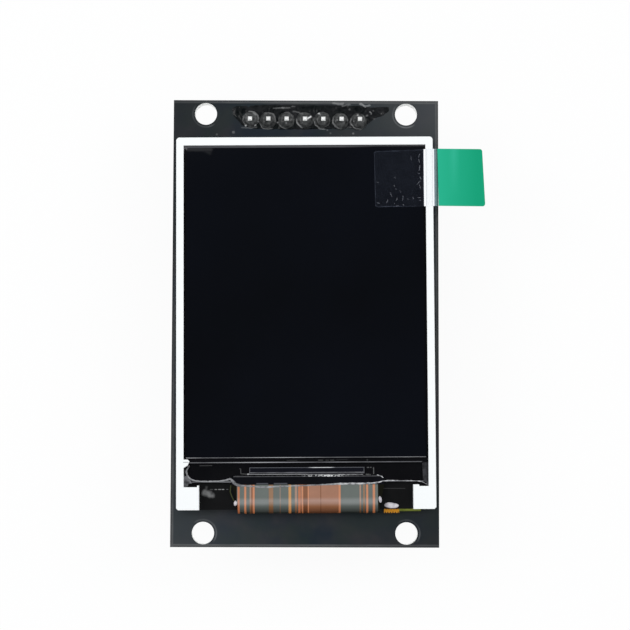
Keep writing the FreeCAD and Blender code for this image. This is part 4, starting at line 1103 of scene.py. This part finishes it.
def bead(name, points, height):
    """A tube along a smooth curve, with its own width at each point."""
    data = bpy.data.curves.new(name, "CURVE")
    data.dimensions = "3D"
    data.bevel_depth = MM
    data.bevel_resolution = 4
    data.use_fill_caps = True
    data.resolution_u = 8
    line = data.splines.new("NURBS")
    line.points.add(len(points) - 1)
    line.order_u = min(3, len(points))
    line.use_endpoint_u = True
    for point, (u, v, radius) in zip(line.points, points):
        point.co = (*on_display(u, v, height), 1)
        point.radius = radius
    made = bpy.data.objects.new(name, data)
    scene.collection.objects.link(made)
    pick(made)
    bpy.ops.object.convert(target="MESH")
    return bpy.context.object


main_bead = bead("glue_bead", BEAD, LEDGE_TOP)
apply_modifier(main_bead, "SUBSURF", levels=1, subdivision_type="SIMPLE")
dent(main_bead, clouds("bead lumps", 0.4), 0.12)
settle(main_bead, glue.material, "sealant")
settle(bead("bond_corner_bead", BOND_CORNER, LEDGE_TOP + 0.09), glue.material, "sealant")
settle(bead("underfill_bead", UNDERFILL, LEDGE_TOP + 0.08), glue.material, "sealant")

# %% Puddles in the corners
resin = Finish("grey resin", 0.3, 0.35)
u, v, h = resin.plan.parts()
# Painted shade and light: one resin, drawn darker in the left corner and paler in the right one.
shaded_resin = resin.mottle((26, 26, 28), (58, 58, 62), 0.6, 4.0)
lit_resin = resin.mottle((54, 54, 57), (116, 116, 120), 0.6, 4.0)
resin.colour(blend(u.under(0.0), shaded_resin, lit_resin))
resin.bump(0.3, 0.8, 0.04)
LEFT_PUDDLE = (
    (-16.6, -20.84), (-16.04, -20.85), (-15.7, -21.45), (-15.51, -21.85), (-15.94, -21.86),
    (-16.09, -22.25), (-16.6, -22.35),
)
RIGHT_PUDDLE = (
    (15.87, -18.95), (16.46, -18.9), (16.56, -19.43), (16.6, -20.64), (16.58, -22.15), (16.05, -21.74),
    (15.84, -21.39), (15.82, -19.98), (15.65, -19.56), (15.83, -19.22),
)
PUDDLE_DEPTH = 0.1
for name, outline in (("puddle_left", LEFT_PUDDLE), ("puddle_right", RIGHT_PUDDLE)):
    corners = [on_display(u, v, LEDGE_TOP - 0.06) for u, v in outline]
    settle(draw_sheet(name, corners, PUDDLE_DEPTH), resin.material, "sealant")

# %% [markdown]
# ## Drops
# Small blobs of glue lie about: one pale dab by the comb, a drop at each end of the fold, a speck
# in the window's corner and one by the claw. The drops and specks sit where glints show, and their
# pale colour is a painted highlight. Each is a sphere pressed flat, cut off where it meets its
# ground and pushed out of shape a little, which is quicker than sculpting. Bisect counts all
# within its threshold, 0.1 mm unless told otherwise, as lying on the plane. Blobs as small as
# these keep doubled faces underneath for that; a smaller threshold would close them, but the
# bisect here keeps the default.

# %% Blob helper and blobs
pale_blobs = Finish("pale glue with painted glints", 0.35)
u, v, h = pale_blobs.plan.parts()
shade = pale_blobs.mottle((176, 170, 178), (218, 213, 216), 0.5, 3.0)
shaded_end = u.slope(11.1, 10.5) * u.band(10.4, 13.0)
pale_blobs.colour(blend(shaded_end, shade, (112, 110, 116)))
pale_blobs.bump(0.2, 0.8, 0.03)
dents = clouds("dents", 0.5)
TAPE_TOP = 1.04


def blob(name, place, reach, turn=0.0, rough=0.12):
    """A sphere pressed flat on its ground, cut off there and pushed out of shape."""
    clear_selection()
    bpy.ops.mesh.primitive_uv_sphere_add(segments=40, ring_count=24, radius=MM, location=place)
    piece = bpy.context.object
    piece.name = name
    edit(piece)
    bpy.ops.transform.resize(value=reach, center_override=place)
    bpy.ops.transform.rotate(value=turn, orient_axis="Z", center_override=place)
    bpy.ops.mesh.bisect(plane_co=place, plane_no=(0, 0, 1), use_fill=True, clear_inner=True)
    bpy.ops.object.mode_set(mode="OBJECT")
    dent(piece, dents, rough)
    settle(piece, pale_blobs.material, "sealant")


blob("dab_by_the_comb", on_display(11.58, -24.98, TAPE_TOP - 0.05), (1.0, 0.4, 0.3), 0.06)
# Painted highlights: these pale blobs stand where glints show at the fold's ends, in the window's corner
# and by the claw.
blob("glint_drop_left", on_display(-9.58, -24.55, 1.5), (0.24, 0.38, 0.35), 0.2, 0.06)
blob("glint_drop_right", on_display(10.02, -24.15, 1.6), (0.24, 0.46, 0.4), -0.15, 0.08)
blob("glint_speck_in_the_corner", on_display(-16.46, 23.96, 1.9), (0.15, 0.17, 0.15), 0.0, 0.03)
blob("glint_speck_by_the_claw", on_display(-15.9, -19.53, LEDGE_TOP - 0.02), (0.22, 0.1, 0.08), 0.0, 0.03)

# %% [markdown]
# ## Pull tab
# A clear film with a green handle is stuck over the corner of the screen, to pull off the
# protective film. It is all but invisible: what shows is its cut edge, a milky strip where it
# crosses the window's edge, and the fine creases where it has not gone down flat. So the film
# is nearly transparent, and its creases are modelled as thin ridges, each a short bent bead.

# %% Clear film
FILM_LEFT, FILM_TOP_END, FILM_LOW_END = 9.86, 23.02, 16.08
ROUNDING = 0.4
tab = Finish("clear pull tab film", 0.12)
u, v, h = tab.plan.parts()
straight_top = v - (u - 9.44) * 0.037
straight_left = u + (v - 23.4) * 0.021
past_left = FILM_LEFT - straight_left | 0.0
past_end = straight_top - FILM_TOP_END | FILM_LOW_END - v | 0.0
outward = (past_left * past_left + past_end * past_end).root()
inside = outward.under(ROUNDING, 0.03)
cut_edge = outward.band(ROUNDING - 0.14, ROUNDING, 0.04)
milky = u.band(16.34, 16.64, 0.05) | u.band(17.56, 17.76, 0.04)
over_board = u.over(17.74, 0.03)
veil = 0.007 + tab.patches(2.0, 2.5) * 0.006 + cut_edge * tab.patches(1.2, 2.0) * 0.07 + milky
tab.join((veil + over_board * 0.3).clamp() * inside, "Alpha")
clear_tone = blend(milky, (190, 202, 232), (255, 255, 255))
sideways = blend(u.slope(17.75, 18.2), (196, 210, 220), (84, 134, 128))
tab.colour(blend(over_board, clear_tone, sideways))
tab.bump(2.0, 0.4, 0.01)
dress(tab, "pull_tab_film")

# %% Creases in the film
CREASES = (
    (1, 15.83, 23.08, 15.6, 22.56), (1, 15.64, 22.31, 15.77, 21.82), (1.4, 15.81, 21.44, 15.7, 20.73),
    (1, 15.51, 20.41, 15.77, 20.26), (1.4, 15.77, 19.9, 15.95, 19.52),
    (1, 15.9, 19.28, 15.41, 19.01, 15.56, 18.82), (1, 15.68, 18.79, 15.85, 18.45, 15.87, 18.23),
    (0.7, 14.59, 22.69, 14.61, 22.19), (1, 12.34, 19.82, 12.45, 19.64), (1, 12.22, 18.68, 12.33, 18.53),
    (1, 12.45, 18.25, 12.55, 18.09), (0.7, 13.01, 18.0, 13.16, 17.69),
    (1, 11.63, 17.71, 11.86, 17.45, 11.93, 17.08), (1, 11.41, 16.71, 11.16, 16.25),
    (1, 12.68, 16.98, 12.54, 16.57), (1, 13.43, 17.23, 13.53, 16.89, 13.32, 16.57),
    (1, 14.81, 17.1, 14.88, 16.75), (1, 15.51, 16.99, 15.91, 16.95), (1.4, 15.69, 16.66, 15.93, 16.51),
    (0.7, 14.04, 16.85, 14.27, 16.67), (0.7, 9.85, 19.2, 10.07, 19.05), (1, 12.26, 16.25, 12.32, 16.09),
    (1, 12.53, 15.87, 12.84, 15.86), (1, 13.45, 16.09, 13.57, 15.9), (1, 9.85, 16.29, 10.31, 16.22),
)
CREASE_RADIUS = 0.055
CREASE_BEND = 0.03
FILM_TOP = 2.41
ridge = Finish("crease in clear film", 0.3, Alpha=0.085)
ridge.colour(ridge.mottle((200, 205, 225), (240, 242, 250), 0.4, 2.0))
ridge.bump(0.2, 0.5, 0.01)
ridges = []
for index, (width, *places) in enumerate(CREASES):
    points = list(zip(places[::2], places[1::2]))
    if len(points) == 2:
        (u1, v1), (u2, v2) = points
        points.insert(1, ((u1 + u2) / 2 + CREASE_BEND, (v1 + v2) / 2))
    radius = CREASE_RADIUS * width
    (first, *middle, last) = points
    line = [(*first, radius / 2), *((*point, radius) for point in middle), (*last, radius / 2)]
    ridges.append(bead(f"crease_{index + 1}", line, FILM_TOP))
clear_selection()
for one in ridges:
    one.select_set(True)
bpy.context.view_layer.objects.active = ridges[0]
bpy.ops.object.join()
creases = bpy.context.object
creases.name = "film_creases"
settle(creases, ridge.material, "clear_film")

# %% Green handle
green = Finish("green handle", 0.36, 0.18)
x, y, z = green.place.parts()
# Painted shade: the green is drawn darker towards the free end, which droops away from the light.
tone = blend(x.slope(18.4, 23.5), (34, 174, 136), (8, 157, 116))
# Painted sheen: a paler band down the handle where its curve catches the light.
sheen_band = y.slope(17.0, 23.0) * 0.5 * x.hump(20.3, 0.8)
green.colour(blend(sheen_band, tone, (56, 184, 152)))
green.bump(0.6, 0.5, 0.01)
dress(green, "pull_tab_handle")
